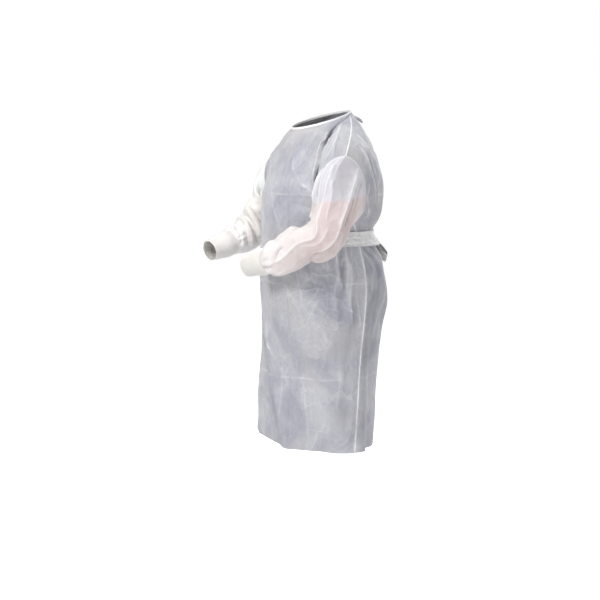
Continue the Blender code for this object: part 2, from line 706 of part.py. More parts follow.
def build():
    clear_scene()
    front = front_panel_points()
    backs = {side: back_panel_points(side) for side in (1, -1)}
    centre_line = backs[1][:, BACK_SHOULDER_COLUMNS + BACK_NECK_COLUMNS]
    loft("front_panel", front, WALL, BODY_CLOTH)
    loft("neck_binding", binding_points(front, backs)[:, ::-1], BINDING_WALL, STRIP_CLOTH)
    sleeves = (
        (1, "left", LEFT_SLEEVE, LEFT_SLEEVE_FOLDS),
        (-1, "right", RIGHT_SLEEVE, RIGHT_SLEEVE_FOLDS),
    )
    for side, word, table, folds in sleeves:
        back = backs[side]
        loft("back_panel_" + word, back[:, ::side], WALL, BODY_CLOTH)
        rings, crease, way = sleeve_points(side, armhole(side, front, back), table, folds)
        cuff = cuff_points(side, rings[-1], crease, way)
        loft("sleeve_" + word, rings[:, ::side], WALL, SLEEVE_CLOTH, closed=True)
        loft("cuff_" + word, cuff[:, ::side], KNIT_WALL, KNIT_CLOTH, closed=True)
        loft("waist_tie_" + word, waist_tie_points(side)[:, ::side], WALL, STRIP_CLOTH)
        for name in BOWS:
            loop = bow_loop(name, side, centre_line)
            tail = bow_tail(name, side, centre_line)
            loft(name + "_loop_" + word, loop[:, ::-side], WALL, STRIP_CLOTH)
            loft(name + "_tail_" + word, tail[:, ::-side], WALL, STRIP_CLOTH)
    for name in BOWS:
        knot(name, centre_line)


build()
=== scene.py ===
"""Looks of the worn isolation gown: fine cloth on the form of each solid, with its creases, seams,
stitches and knit, in soft studio light.

Metres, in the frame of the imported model. The front faces -Y and the wearer's left is +X.
"""

from collections import namedtuple
import math

import bpy
import numpy as np
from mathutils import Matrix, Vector


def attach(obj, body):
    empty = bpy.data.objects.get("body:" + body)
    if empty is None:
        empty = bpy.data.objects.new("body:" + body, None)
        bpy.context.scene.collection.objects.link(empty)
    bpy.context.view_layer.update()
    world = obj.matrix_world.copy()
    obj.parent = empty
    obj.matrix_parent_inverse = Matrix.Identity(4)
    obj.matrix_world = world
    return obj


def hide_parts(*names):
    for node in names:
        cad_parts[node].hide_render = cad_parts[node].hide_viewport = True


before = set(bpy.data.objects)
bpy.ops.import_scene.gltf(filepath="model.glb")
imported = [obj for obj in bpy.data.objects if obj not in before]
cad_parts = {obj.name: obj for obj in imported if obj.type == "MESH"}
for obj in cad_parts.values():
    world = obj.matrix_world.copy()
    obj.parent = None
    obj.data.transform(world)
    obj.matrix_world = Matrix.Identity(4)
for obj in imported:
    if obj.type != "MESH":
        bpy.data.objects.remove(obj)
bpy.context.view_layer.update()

SIDES = ((1, "left"), (-1, "right"))

# The front's column at each side seam
SEAM_COLUMN = {1: -1, -1: 0}

# Fine mesh steps
FRONT_STEPS = 236
BACK_SHOULDER_STEPS = 90
BACK_LAP_STEPS = 45
SKIRT_STEPS = 236
YOKE_STEPS = 118
# The back's column on the centre line
CENTRE_COLUMN = BACK_SHOULDER_STEPS + BACK_LAP_STEPS * 2 // 3
SLEEVE_STEPS = 168

# Cloth sizes, the same as the solids have
WALL = 0.0012
SEAM_GAP = 0.0004
NECK_RADIUS = 0.0907
NECK_FRONT_Z = -0.036
NECK_RISE = 0.053
NECK_SIDE_TURN = 139.0
NECK_CLEAR_FROM = 0.6
NECK_CLEAR_RISE = 0.1
NECK_SLOPE = 0.05
SHOULDER_POINT = (0.235, -0.034, -0.112)
SHOULDER_SAG = 0.012
HEM_Z = -0.992
UNDERARM_Z = -0.305
QUARTER_POINTS = 360
HEM_TILT = 0.025
HEM_TILT_Z = -0.86

# Level sections below the underarm, as in the solids
SECTION_COLUMNS = (
    "z", "half_width", "front", "back", "seam_y", "square_left", "square_right", "square_back",
)
SECTIONS = (
    (-0.992, 0.226, 0.156, 0.120, 0.006, 1.9, 5.0, 2.4),
    (-0.860, 0.220, 0.159, 0.127, 0.018, 2.1, 4.0, 2.4),
    (-0.720, 0.213, 0.158, 0.138, 0.030, 2.3, 3.0, 2.4),
    (-0.600, 0.208, 0.166, 0.158, 0.045, 2.5, 2.5, 2.4),
    (-0.530, 0.204, 0.172, 0.173, 0.052, 2.5, 2.5, 2.4),
    (-0.468, 0.198, 0.176, 0.160, 0.052, 2.5, 2.5, 2.4),
    (-0.412, 0.191, 0.176, 0.148, 0.044, 2.5, 2.5, 2.4),
    (-0.358, 0.184, 0.172, 0.133, 0.034, 2.5, 2.5, 2.4),
    (-0.336, 0.184, 0.171, 0.130, 0.028, 2.5, 2.5, 2.4),
    (-0.305, 0.187, 0.169, 0.152, 0.016, 2.5, 2.5, 2.4),
)

# Pulling points of the yoke, as in the solids
STATION_COLUMNS = ("share", "low_x", "low_y", "low_z", "high_x", "high_y", "high_z")
FRONT_STATIONS = (
    (0.00, 0.000, -0.174, -0.220, 0.000, -0.122, -0.080),
    (0.25, 0.090, -0.166, -0.215, 0.096, -0.108, -0.050),
    (0.50, 0.148, -0.148, -0.215, 0.122, -0.040, -0.014),
    (0.75, 0.172, -0.142, -0.235, 0.165, -0.102, -0.048),
    (1.00, 0.174, -0.140, -0.285, 0.206, -0.122, -0.112),
)
BACK_STATIONS = (
    (0.00, 0.000, 0.180, -0.235, 0.000, 0.148, -0.046),
    (0.25, 0.078, 0.173, -0.235, 0.070, 0.145, -0.044),
    (0.50, 0.134, 0.150, -0.230, 0.128, 0.132, -0.058),
    (0.75, 0.170, 0.120, -0.245, 0.172, 0.104, -0.080),
    (1.00, 0.176, 0.088, -0.285, 0.202, 0.060, -0.130),
)

# Where the largest folds fade, as in the solids
FOLD_FADE = 0.22
SIDE_FADE = 0.10
TOP_FADE = 1 / 3
YOKE_FADE_FROM = 0.20
YOKE_FADE = 0.25
ARMHOLE_FADE = 0.07
# The largest folds: place across and z at the top, the same at the low end, half width and height
FRONT_FOLDS = (
    (0.50, 0.000, 0.86, -0.205, 0.060, -0.012),
    (0.38, -0.010, 0.76, -0.225, 0.070, 0.007),
    (0.66, 0.010, 0.98, -0.150, 0.070, 0.006),
    (-0.50, 0.000, -0.84, -0.195, 0.065, -0.009),
    (-0.66, 0.010, -0.96, -0.150, 0.070, 0.006),
    (-0.20, -0.560, 0.46, -1.150, 0.120, 0.020),
    (0.30, -0.600, 0.78, -1.150, 0.120, -0.012),
    (-0.55, -0.640, -0.50, -1.150, 0.110, -0.008),
    (-0.80, -0.620, -0.72, -1.150, 0.090, 0.010),
)
BACK_FOLDS = (
    (0.62, -0.070, 0.55, -0.330, 0.090, 0.007),
    (0.40, -0.080, 0.38, -0.330, 0.080, -0.006),
    (-0.62, -0.070, -0.50, -0.330, 0.100, 0.006),
    (-0.36, -0.090, -0.30, -0.330, 0.080, -0.005),
    (0.84, -0.470, 0.70, -1.150, 0.100, -0.016),
    (0.52, -0.500, 0.42, -1.150, 0.100, 0.010),
    (0.12, -0.520, 0.16, -1.150, 0.110, -0.008),
    (-0.34, -0.520, -0.30, -1.150, 0.100, 0.010),
    (-0.70, -0.500, -0.62, -1.150, 0.100, -0.012),
)
GATHERS_A_HALF = 7
GATHER_UNEVEN = 0.25
FRONT_GATHER_START = 0.74
# Height on the body, and height of the gathers there
GATHER_HEIGHTS = (
    (-0.900, 0.0000), (-0.700, 0.0008), (-0.600, 0.0025), (-0.500, 0.0045), (-0.430, 0.0050),
    (-0.385, 0.0022), (-0.358, 0.0014), (-0.336, 0.0018), (-0.300, 0.0045), (-0.240, 0.0035),
    (-0.170, 0.0012), (-0.100, 0.0000),
)
# Shares of half the front and of half the back that the neckline takes up
FRONT_NECK_SHARE = 0.5
NECK_SHARE = 0.25
LAP = 0.125
LAP_RISE = 0.0034
LAP_START = 0.42
LAP_BLEND = 0.17

# Sleeves, as in the solids: centre of each ring and its half sizes
ARMHOLE_HALVES = (0.095, 0.085)
SLEEVE_COLUMNS = ("x", "y", "z", "half_side", "half_front")
LEFT_SLEEVE = (
    (0.2310, -0.052, -0.230, 0.078, 0.068),
    (0.2480, -0.074, -0.268, 0.063, 0.060),
    (0.2500, -0.090, -0.300, 0.056, 0.062),
    (0.2490, -0.103, -0.331, 0.056, 0.062),
    (0.2385, -0.122, -0.353, 0.057, 0.060),
    (0.2170, -0.149, -0.363, 0.056, 0.054),
    (0.1850, -0.173, -0.381, 0.055, 0.058),
    (0.1560, -0.191, -0.397, 0.054, 0.059),
    (0.1300, -0.206, -0.409, 0.050, 0.055),
    (0.1130, -0.215, -0.415, 0.043, 0.046),
    (0.1020, -0.2205, -0.4185, 0.038, 0.039),
)
RIGHT_SLEEVE = (
    (-0.2310, -0.034, -0.228, 0.078, 0.086),
    (-0.2500, -0.054, -0.261, 0.061, 0.090),
    (-0.2530, -0.073, -0.293, 0.056, 0.087),
    (-0.2530, -0.094, -0.321, 0.055, 0.075),
    (-0.2500, -0.117, -0.348, 0.053, 0.062),
    (-0.2460, -0.145, -0.368, 0.051, 0.055),
    (-0.2400, -0.172, -0.379, 0.048, 0.050),
    (-0.2340, -0.192, -0.386, 0.043, 0.045),
    (-0.2300, -0.206, -0.390, 0.038, 0.039),
)
BLEND_SHARE = 0.28
CREASE_RISE = 0.05
CREASE_HALF_TURN = 0.3
# Share of the way down, degrees round, their half sizes, slant and height
LEFT_SLEEVE_FOLDS = (
    (0.30, 70.0, 0.055, 50.0, 0.10, -0.009),
    (0.42, 95.0, 0.045, 55.0, -0.06, 0.007),
    (0.52, 85.0, 0.040, 60.0, -0.08, -0.009),
    (0.62, 70.0, 0.040, 60.0, 0.06, 0.006),
    (0.76, 60.0, 0.045, 70.0, 0.10, -0.005),
    (0.88, 250.0, 0.050, 80.0, 0.05, 0.005),
    (0.48, 255.0, 0.060, 60.0, 0.00, 0.004),
)
RIGHT_SLEEVE_FOLDS = (
    (0.32, 75.0, 0.055, 50.0, 0.08, -0.008),
    (0.46, 90.0, 0.045, 60.0, -0.05, 0.008),
    (0.56, 80.0, 0.040, 70.0, 0.06, -0.010),
    (0.66, 60.0, 0.040, 80.0, 0.08, 0.008),
    (0.76, 40.0, 0.040, 80.0, 0.08, -0.007),
    (0.86, 30.0, 0.040, 90.0, 0.06, 0.006),
)

# Knitted cuffs: ribs run along the arm
CUFF_LENGTH = 0.085
# Share of the way along, and half size
CUFF_SIZES = ((0.0, 0.0380), (0.25, 0.0395), (0.6, 0.0350), (1.0, 0.0310))
CUFF_RIBS = 84
CUFF_STEPS_A_RIB = 5
CUFF_STEPS = 60
RIB_RISE = 0.0007
RIB_DRIFT = 0.25
RIB_DRIFT_LENGTH = 0.03
CUFF_UNEVEN = 0.0011
CUFF_UNEVEN_LENGTH = 0.035
# Shares of the way along over which the ribs begin, and the sleeve's last ring becomes round
CUFF_START = 0.06
CUFF_ROUNDED = 0.05
CUFF_WALL = 0.0012
CUFF_FLAT_RADIUS = 0.036

# Waist ties
TIE_Z = (-0.380, -0.366, -0.352, -0.336)
TIE_FLARE = (0.0120, 0.0060, 0.0018, 0.0)
TIE_CLEAR = 0.0010
TIE_FRONT_START = 0.80
TIE_FLARE_END = 0.72
TIE_END_X = 0.0008
TIE_STEPS = 260
TIE_SEWN_COLUMNS = (4, 14)
TIE_ROWS = 26
TIE_LAP_STARTS = {1: 0.42, -1: 0.30}
TIE_PLEATS = 3.0
TIE_CRUMPLED = 2.4
TIE_CRUSH = 0.0060
TIE_DEEPEST = -0.0009
TIE_END_FADE = 0.02

# Pleats and crumple of every folded strip
PLEAT_HEIGHT = 0.0006
PLEAT_UNEVEN = 0.35
# How far pleats wander, as a share of one pleat
PLEAT_WANDER_TURN = 0.25
# Lengths over which pleats wander and swell, and sizes of facets, along and across a strip
PLEAT_WANDER = 0.05
PLEAT_SWELL = (0.045, 0.05)
STRIP_FACETS = (0.016, 0.010)
TIE_FACETS = (0.030, 0.016)
TIE_SMALL_FACETS = (0.016, 0.022)
STRIP_CRUMPLE = 0.0005
STRIP_PROUD = 0.0004
STRIP_WALL = 0.0008

# The binding: height and distance out of each point of its rounded profile
BINDING_LEAN = 0.16
BINDING_PROFILE = (
    (0.0000, 0.0002), (0.0004, 0.0006), (0.0014, 0.0008), (0.0030, 0.0008), (0.0048, 0.0008),
    (0.0060, 0.0006), (0.0068, 0.0002), (0.0071, -0.0006), (0.0069, -0.0014), (0.0060, -0.0018),
    (0.0030, -0.0018), (0.0002, -0.0016),
)

# The bows behind the waist and the neck
Bow = namedtuple("Bow", "knot_z half_x half_y half_z clear width loop open loop_splay tail tail_splay")
BOWS = {
    "waist": Bow(-0.366, 0.0200, 0.0150, 0.0190, 0.0033, 0.034, 0.100, 0.0110, 48, 0.250, 9),
    "neck": Bow(0.0040, 0.0062, 0.0042, 0.0055, 0.0005, 0.009, 0.040, 0.0036, 62, 0.115, 14),
}
ROOT_SHARE = 0.42
ROOT_GAP = 0.0020
TAIL_APART = 1.06
TAIL_CLEAR = 0.0012
LOOP_STEPS = 110
TAIL_STEPS = 120
STRIP_ROWS = 13
# Lengths over which a strip's relief ends, and its pleats are drawn together beside the knot
BOW_END_FADE = 0.012
KNOT_PINCH = 0.06
# Share of the pleats' height on a bow, how much more it is beside the knot, and the size of facets
BOW_PLEATS = 0.8
KNOTTED_PLEATS = 1.2
BOW_FACETS = 0.030
KNOT_STEPS = 72
KNOT_SQUARE = 0.72
# Shares of a knot's size: its block, the band round it, and the turns of its strip
KNOT_BLOCK = 0.80
KNOT_BAND_SIZE = 0.10
KNOT_TURN_SIZE = 0.09
KNOT_TURNS = 1.5
KNOT_BAND = 0.52
KNOT_SLANT = 0.22
# Sideways sway of a free end and its waves away from the back
SWAY = 0.18
STRIP_WAVE = 0.0016


def column(table, names, name):
    """One named column of a table."""
    return np.array([row[names.index(name)] for row in table], float)


def smooth_value(at, xs, ys):
    """Reads ys at a place between xs on a soft curve through every point. xs rise."""
    xs = np.asarray(xs, float)
    ys = np.asarray(ys, float)
    slopes = np.gradient(ys, xs, axis=0)
    at = np.clip(np.asarray(at, float), xs[0], xs[-1])
    low = np.clip(np.searchsorted(xs, at, side="right") - 1, 0, len(xs) - 2)
    step = xs[low + 1] - xs[low]
    part = (at - xs[low]) / step
    if ys.ndim > 1:
        step = step[..., None]
        part = part[..., None]
    start = (2 * part**3 - 3 * part**2 + 1) * ys[low]
    start += (part**3 - 2 * part**2 + part) * step * slopes[low]
    end = (3 * part**2 - 2 * part**3) * ys[low + 1]
    end += (part**3 - part**2) * step * slopes[low + 1]
    return start + end


def curve_value(table, at):
    """Reads a table of places and values on a soft curve."""
    return smooth_value(at, *np.transpose(table))


def soft_step(value):
    """0 below 0, 1 above 1, and a soft slope between."""
    value = np.clip(value, 0.0, 1.0)
    return value * value * (3 - 2 * value)


def bell(away, reach):
    """1 where away is 0, falling softly to about a third at the reach."""
    return np.exp(-((away / reach) ** 2))


def uneven(share, waves):
    """A factor that waves from -1 to 1 bring down from 1 by up to twice the share."""
    return 1 - share + share * waves


def unit(vectors):
    """Vectors brought to length 1 along their last axis."""
    return vectors / (np.linalg.norm(vectors, axis=-1, keepdims=True) + 1e-12)


def running_length(points, axis=0):
    """How far along a line of points each one is. Of a grid, along the lines of one axis."""
    total = np.cumsum(np.linalg.norm(np.diff(points, axis=axis), axis=-1), axis=axis)
    return np.concatenate([0 * np.take(total, [0], axis=axis), total], axis=axis)


def grid_normals(grid):
    """Unit normals of a grid of points, all on one face of it."""
    return unit(np.cross(np.gradient(grid, axis=0), np.gradient(grid, axis=1)))


def points_at(at, lengths, points):
    """Points on a line at the given lengths."""
    return np.stack([np.interp(at, lengths, points[:, axis]) for axis in range(3)], axis=1)


def even_points(curve, shares):
    """Points of a fine curve at the given shares of its length."""
    lengths = running_length(curve)
    return points_at(np.asarray(shares) * lengths[-1], lengths, curve)


# Form of the body


def section_size(name, z):
    """A size of the level section at a height."""
    heights, sizes = (column(SECTIONS, SECTION_COLUMNS, part) for part in ("z", name))
    return float(smooth_value(z, heights, sizes))


def half_section(z, side, depth, power):
    """A quarter of a level section, from the centre to the side seam. side is 1 left, -1 right."""
    turn = np.linspace(0.0, math.pi / 2, QUARTER_POINTS)
    seam_y = section_size("seam_y", z)
    x = side * section_size("half_width", z) * np.sin(turn) ** (2 / power)
    y = seam_y + (depth - seam_y) * np.cos(turn).clip(0) ** (2 / power)
    tilt = HEM_TILT * max(0.0, (HEM_TILT_Z - z) / (HEM_TILT_Z - HEM_Z))
    return np.stack([x, y, z - tilt * x], axis=1)


def signed_places(left, right, across):
    """Points on the left quarter where across is 0 or more, and on the right quarter below 0."""
    across = np.asarray(across, float)
    on_left = even_points(left, np.abs(across))
    on_right = even_points(right, np.abs(across))
    return np.where((across >= 0)[:, None], on_left, on_right)


def front_section(z, across):
    """The front of a level section at places from -1, the right seam, to 1, the left seam."""
    depth = -section_size("front", z)
    left = half_section(z, 1, depth, section_size("square_left", z))
    right = half_section(z, -1, depth, section_size("square_right", z))
    return signed_places(left, right, across)


def back_section(z, across):
    """The back of a level section, at places as in the front."""
    depth = section_size("back", z)
    power = section_size("square_back", z)
    return signed_places(half_section(z, 1, depth, power), half_section(z, -1, depth, power), across)


def neck_point(turn):
    """The neckline at a turn in degrees from the front centre, towards the left."""
    angle = math.radians(turn)
    z = NECK_FRONT_Z + NECK_RISE * math.sin(angle / 2) ** 2
    return np.array([NECK_RADIUS * math.sin(angle), -NECK_RADIUS * math.cos(angle), z])


def shoulder_seam(share):
    """The left shoulder seam, from the neckline to the shoulder point."""
    start = neck_point(NECK_SIDE_TURN)
    end = np.array(SHOULDER_POINT)
    lift = SHOULDER_SAG * math.sin(math.pi * share)
    return start + (end - start) * share + np.array([0.0, lift, lift])


def top_row(across, neck_share, centre_turn):
    """The neckline and shoulder seams: the top edge of the front or of the back."""
    points = []
    for place in across:
        share = abs(place)
        if share <= neck_share:
            point = neck_point(centre_turn + (NECK_SIDE_TURN - centre_turn) * share / neck_share)
        else:
            point = shoulder_seam((share - neck_share) / (1 - neck_share))
        points.append(point * np.array([1.0 if place >= 0 else -1.0, 1.0, 1.0]))
    return np.array(points)


def pull_row(stations, level, across):
    """The low or high pulling points at each place across."""
    shares = column(stations, STATION_COLUMNS, "share")
    places = np.concatenate([-shares[:0:-1], shares])
    coordinates = []
    for axis in "xyz":
        values = column(stations, STATION_COLUMNS, level + "_" + axis)
        mirrored = values[:0:-1] * (-1 if axis == "x" else 1)
        coordinates.append(smooth_value(across, places, np.concatenate([mirrored, values])))
    return np.stack(coordinates, axis=1)


def outside_neck(row, down):
    """Moves the points of a row near the neckline out, where they would cross into the neck."""
    radius = np.linalg.norm(row[:, :2], axis=1)
    out = np.maximum(1.0, (NECK_RADIUS + NECK_SLOPE * down) / radius)
    return row * np.stack([out, out, np.ones(len(row))], axis=1)


def panel_base(section, stations, neck_share, centre_turn, across):
    """A panel before its folds: level rows up to the underarm, then the yoke up to the top row."""
    rows = [section(z, across) for z in np.linspace(HEM_Z, UNDERARM_Z, SKIRT_STEPS + 1)]
    underarm = rows[-1]
    low = pull_row(stations, "low", across)
    high = pull_row(stations, "high", across)
    top = top_row(across, neck_share, centre_turn)
    for up in np.linspace(0.0, 1.0, YOKE_STEPS + 1)[1:]:
        down = 1 - up
        row = down**3 * underarm + 3 * down**2 * up * low + 3 * down * up**2 * high + up**3 * top
        clear = soft_step((up - NECK_CLEAR_FROM) / NECK_CLEAR_RISE)
        rows.append(row + (outside_neck(row, down) - row) * clear)
    return np.array(rows)


def outward(grid):
    """Unit normals of a grid of points, facing away from the middle of the gown."""
    normal = grid_normals(grid)
    skirt = slice(0, SKIRT_STEPS)
    facing = np.sum(normal[skirt] * grid[skirt] * (1, 1, 0))
    return normal if facing > 0 else -normal


def fold_heights(folds, across, z):
    """How far the largest folds lift each point."""
    total = np.zeros_like(z)
    for across_top, z_top, across_low, z_low, half_width, height in folds:
        down = (z_top - z) / (z_top - z_low)
        middle = across_top + (across_low - across_top) * down
        fade = soft_step(down / FOLD_FADE) * soft_step((1 - down) / FOLD_FADE)
        total += height * fade * bell(across - middle, half_width)
    return total


def gather_heights(across, z):
    """Waves drawn in by the waist ties, uneven in height. across counts from the centre back."""
    heights = curve_value(GATHER_HEIGHTS, z)
    turns = across * GATHERS_A_HALF
    heights = heights * uneven(GATHER_UNEVEN, np.sin(1.7 * turns + 0.6))
    return heights * np.cos(2 * math.pi * turns + 0.8 * np.sin(1.3 * turns))


def flat_places(grid, centre):
    """Places on the flat cut: metres across from a column, and metres up from the underarm."""
    across = running_length(grid, 1)
    up = running_length(grid)
    return across - across[:, centre][:, None], up - up[SKIRT_STEPS]


def front_form():
    """The front panel with its largest folds, and its places across from -1 to 1."""
    across = np.linspace(-1, 1, FRONT_STEPS + 1)
    base = panel_base(front_section, FRONT_STATIONS, FRONT_NECK_SHARE, 0.0, across)
    places = np.tile(across, (len(base), 1))
    from_seam = 1 - np.abs(places)
    near_seam = soft_step((np.abs(places) - FRONT_GATHER_START) / SIDE_FADE)
    lift = fold_heights(FRONT_FOLDS, places, base[..., 2]) * soft_step(from_seam / SIDE_FADE)
    lift += gather_heights(1 + from_seam, base[..., 2]) * near_seam
    lift *= edges_kept(from_seam)
    return base + outward(base) * lift[..., None], places


def back_form(side):
    """One back panel with its largest folds, from its side seam to past the centre."""
    shoulder = np.linspace(1.0, NECK_SHARE, BACK_SHOULDER_STEPS + 1)
    lap = np.linspace(NECK_SHARE, -LAP, BACK_LAP_STEPS + 1)[1:]
    across = side * np.concatenate([shoulder, lap])
    base = panel_base(back_section, BACK_STATIONS, NECK_SHARE, 180.0, across)
    places = np.tile(across, (len(base), 1))
    from_seam = 1 - side * places
    lift = fold_heights(BACK_FOLDS, places, base[..., 2]) * soft_step(from_seam / SIDE_FADE)
    lift += gather_heights(np.abs(places), base[..., 2])
    lift *= edges_kept(from_seam)
    if side > 0:
        lift += LAP_RISE * soft_step((LAP_START - places) / LAP_BLEND)
    return base + outward(base) * lift[..., None], places


def edges_kept(from_seam):
    """1 inside a panel and 0 at its armhole, shoulder and neck edges, so that seams meet."""
    up = (np.arange(len(from_seam))[:, None] - SKIRT_STEPS) / YOKE_STEPS
    below_top = soft_step((1 - up) / TOP_FADE)
    in_yoke = soft_step((up + YOKE_FADE_FROM) / YOKE_FADE)
    return below_top * (1 - in_yoke * (1 - soft_step(from_seam / ARMHOLE_FADE)))


# Form of the sleeves and cuffs


def armhole(side, front, back):
    """The armhole edge, from the shoulder point down the front and up the back."""
    front_edge = front[SKIRT_STEPS:, SEAM_COLUMN[side]]
    back_edge = back[SKIRT_STEPS:, 0]
    shoulder = (front_edge[-1] + back_edge[-1]) / 2
    under = (front_edge[0] + back_edge[0]) / 2
    return np.array([shoulder, *front_edge[-2:0:-1], under, *back_edge[1:-1]])


def sleeve_fold_heights(folds, share, turns):
    """How far the largest folds of a sleeve lift one ring."""
    total = np.zeros_like(turns)
    for middle, turn, half_share, half_turn, slant, height in folds:
        apart = (turns - math.radians(turn) + math.pi) % (2 * math.pi) - math.pi
        along = share - middle - slant * apart
        total += height * bell(along, half_share) * bell(apart, math.radians(half_turn))
    return total


def sleeve_form(side, edge, table, folds):
    """Rings from the armhole to the cuff seam, then the last ring's top crease and way."""
    start = edge.mean(axis=0)
    centres = np.vstack([start, np.array(table)[:, :3]])
    half_side = np.concatenate([[ARMHOLE_HALVES[0]], column(table, SLEEVE_COLUMNS, "half_side")])
    half_front = np.concatenate([[ARMHOLE_HALVES[1]], column(table, SLEEVE_COLUMNS, "half_front")])
    shares = np.linspace(0.0, 1.0, SLEEVE_STEPS + 1)
    along = shares * (len(centres) - 1.0)
    steps = np.arange(len(centres))
    centre = smooth_value(along, steps, centres)
    side_size = smooth_value(along, steps, half_side)
    front_size = smooth_value(along, steps, half_front)
    ways = np.gradient(centre, axis=0)
    ways[0] = (side, 0.0, 0.0)
    ways = unit(ways)
    turns = 2 * math.pi * np.arange(len(edge)) / len(edge)
    from_crease = np.minimum(turns, 2 * math.pi - turns)
    pointed = 1 + CREASE_RISE * bell(from_crease, CREASE_HALF_TURN)
    crease = np.array([0.0, 0.0, 1.0])
    rings = []
    for index, way in enumerate(ways):
        crease = unit(crease - way * np.dot(crease, way))
        front = np.cross(way, crease) * side
        share = shares[index]
        lift = sleeve_fold_heights(folds, share, turns) * soft_step((1 - share) / SIDE_FADE)
        ring = (
            centre[index]
            + crease * ((side_size[index] * pointed + lift) * np.cos(turns))[:, None]
            + front * ((front_size[index] + lift) * np.sin(turns))[:, None]
        )
        blend = soft_step(share / BLEND_SHARE)
        moved = edge + np.array([side * SEAM_GAP, 0, 0]) + (centre[index] - start) * (1 if index else 0)
        rings.append(moved * (1 - blend) + ring * blend)
    return np.array(rings), crease, ways[-1]


def ring_places(rings):
    """Each point's metres down a sleeve, and degrees round it from the top crease to the front."""
    down = running_length(rings.mean(axis=1))
    turns = 360.0 * np.arange(rings.shape[1]) / rings.shape[1]
    return np.tile(down[:, None], (1, rings.shape[1])), np.tile(turns, (len(rings), 1))


# Creases and crumple, in metres on the flat cloth

NOISE_CELLS = 64
FULL_WHITE_HEIGHT = 0.0065
# Crumples: how far the facets bend and over what lengths, and how round their ridges are
FACET_BEND = 0.35
FACET_BEND_LENGTHS = (0.11, 0.13)
RIDGE_ROUND = 0.004
RIDGE_LEVEL = 0.45
PATCH_CONTRAST = 1.6
PATCH_LENGTH = 0.10
LINE_STEPS = 8
# A crest's white line comes and goes by this share and over this length
BROKEN_SHARE = 0.38
BROKEN_LENGTH = 0.024


def noise(x, y, seed):
    """Soft noise from -1 to 1, with one wave for each unit of x and y."""
    angles = np.random.default_rng(seed).uniform(0.0, 2 * math.pi, (NOISE_CELLS, NOISE_CELLS))
    column_at = np.floor(x).astype(int)
    row_at = np.floor(y).astype(int)
    part_x = x - column_at
    part_y = y - row_at
    corners = []
    for step_x, step_y in ((0, 0), (1, 0), (0, 1), (1, 1)):
        angle = angles[(column_at + step_x) % NOISE_CELLS, (row_at + step_y) % NOISE_CELLS]
        corners.append(np.cos(angle) * (part_x - step_x) + np.sin(angle) * (part_y - step_y))
    blend_x, blend_y = (part**3 * (part * (part * 6 - 15) + 10) for part in (part_x, part_y))
    low = corners[0] + (corners[1] - corners[0]) * blend_x
    high = corners[2] + (corners[3] - corners[2]) * blend_x
    return 1.5 * (low + (high - low) * blend_y)


def crumple(x, y, seed, layers):
    """Soft facets that meet in thin ridges, as thin stiff cloth crumples: heights, and how white each
    crest is, partly the cloth's own whitening and partly painted highlight. layers are (across, along,
    height)."""
    bend = FACET_BEND * noise(x / FACET_BEND_LENGTHS[0], y / FACET_BEND_LENGTHS[1], seed)
    total = np.zeros_like(x)
    white = np.zeros_like(x)
    for step, (across, along, height) in enumerate(layers):
        waves = noise(x / across + bend, y / along - bend, seed + 7 * step + 1)
        total += height * (RIDGE_LEVEL - np.sqrt(waves**2 + RIDGE_ROUND))
        patchiness = noise(x / PATCH_LENGTH, y / PATCH_LENGTH, seed + 7 * step + 4)
        patches = soft_step(0.5 + PATCH_CONTRAST * patchiness)
        # Painted highlight along each crest, together with the cloth's own whitening, in patches
        white += CREST_WHITE * patches * bell(waves * min(across, along), CREST_HALF_WIDTH)
    return total, white


def crease_heights(creases, x, y, degree=0.0, full_white=FULL_WHITE_HEIGHT):
    """Ridges and troughs drawn along paths on the cloth: heights, and how white each crest is, partly
    the cloth's own whitening and partly painted highlight, with painted shade in each trough. On a
    sleeve degree is one degree round it, in metres."""
    total = np.zeros_like(x)
    white = np.zeros_like(x)
    round_it = 360 * degree
    for half_width, height, power, *path in creases:
        marks = np.array(path) * (degree or 0.001, 0.001)
        steps = np.arange(len(marks))
        line = smooth_value(np.linspace(0, len(marks) - 1, LINE_STEPS * len(marks)), steps, marks)
        nearest = np.full(x.shape, np.inf)
        place = np.zeros(x.shape)
        for index, (start, end) in enumerate(zip(line[:-1], line[1:])):
            off_x = x - start[0]
            if degree:
                off_x = (off_x + round_it / 2) % round_it - round_it / 2
            off_y = y - start[1]
            way = end - start
            part = np.clip((off_x * way[0] + off_y * way[1]) / (way @ way), 0, 1)
            far = np.hypot(off_x - part * way[0], off_y - part * way[1])
            closer = far < nearest
            nearest = np.where(closer, far, nearest)
            place = np.where(closer, (index + part) / (len(line) - 1), place)
        fade = soft_step(place / END_FADE) * soft_step((1 - place) / END_FADE)
        total += height / 1000 * fade * np.exp(-((1000 * nearest / half_width) ** power))
        line = bell(nearest, min(LINE_SHARE * half_width / 1000, WIDEST_LINE))
        broken = uneven(BROKEN_SHARE, noise(x / BROKEN_LENGTH + 5, y / BROKEN_LENGTH, 93))
        # Whiter along a crest, partly the cloth's own whitening and partly painted highlight; painted
        # shade in a trough
        white += fade * line * broken * np.clip(height / 1000 / full_white, -1, 1)
    return total, white


# Share of a crease over which each end of it fades
END_FADE = 0.18
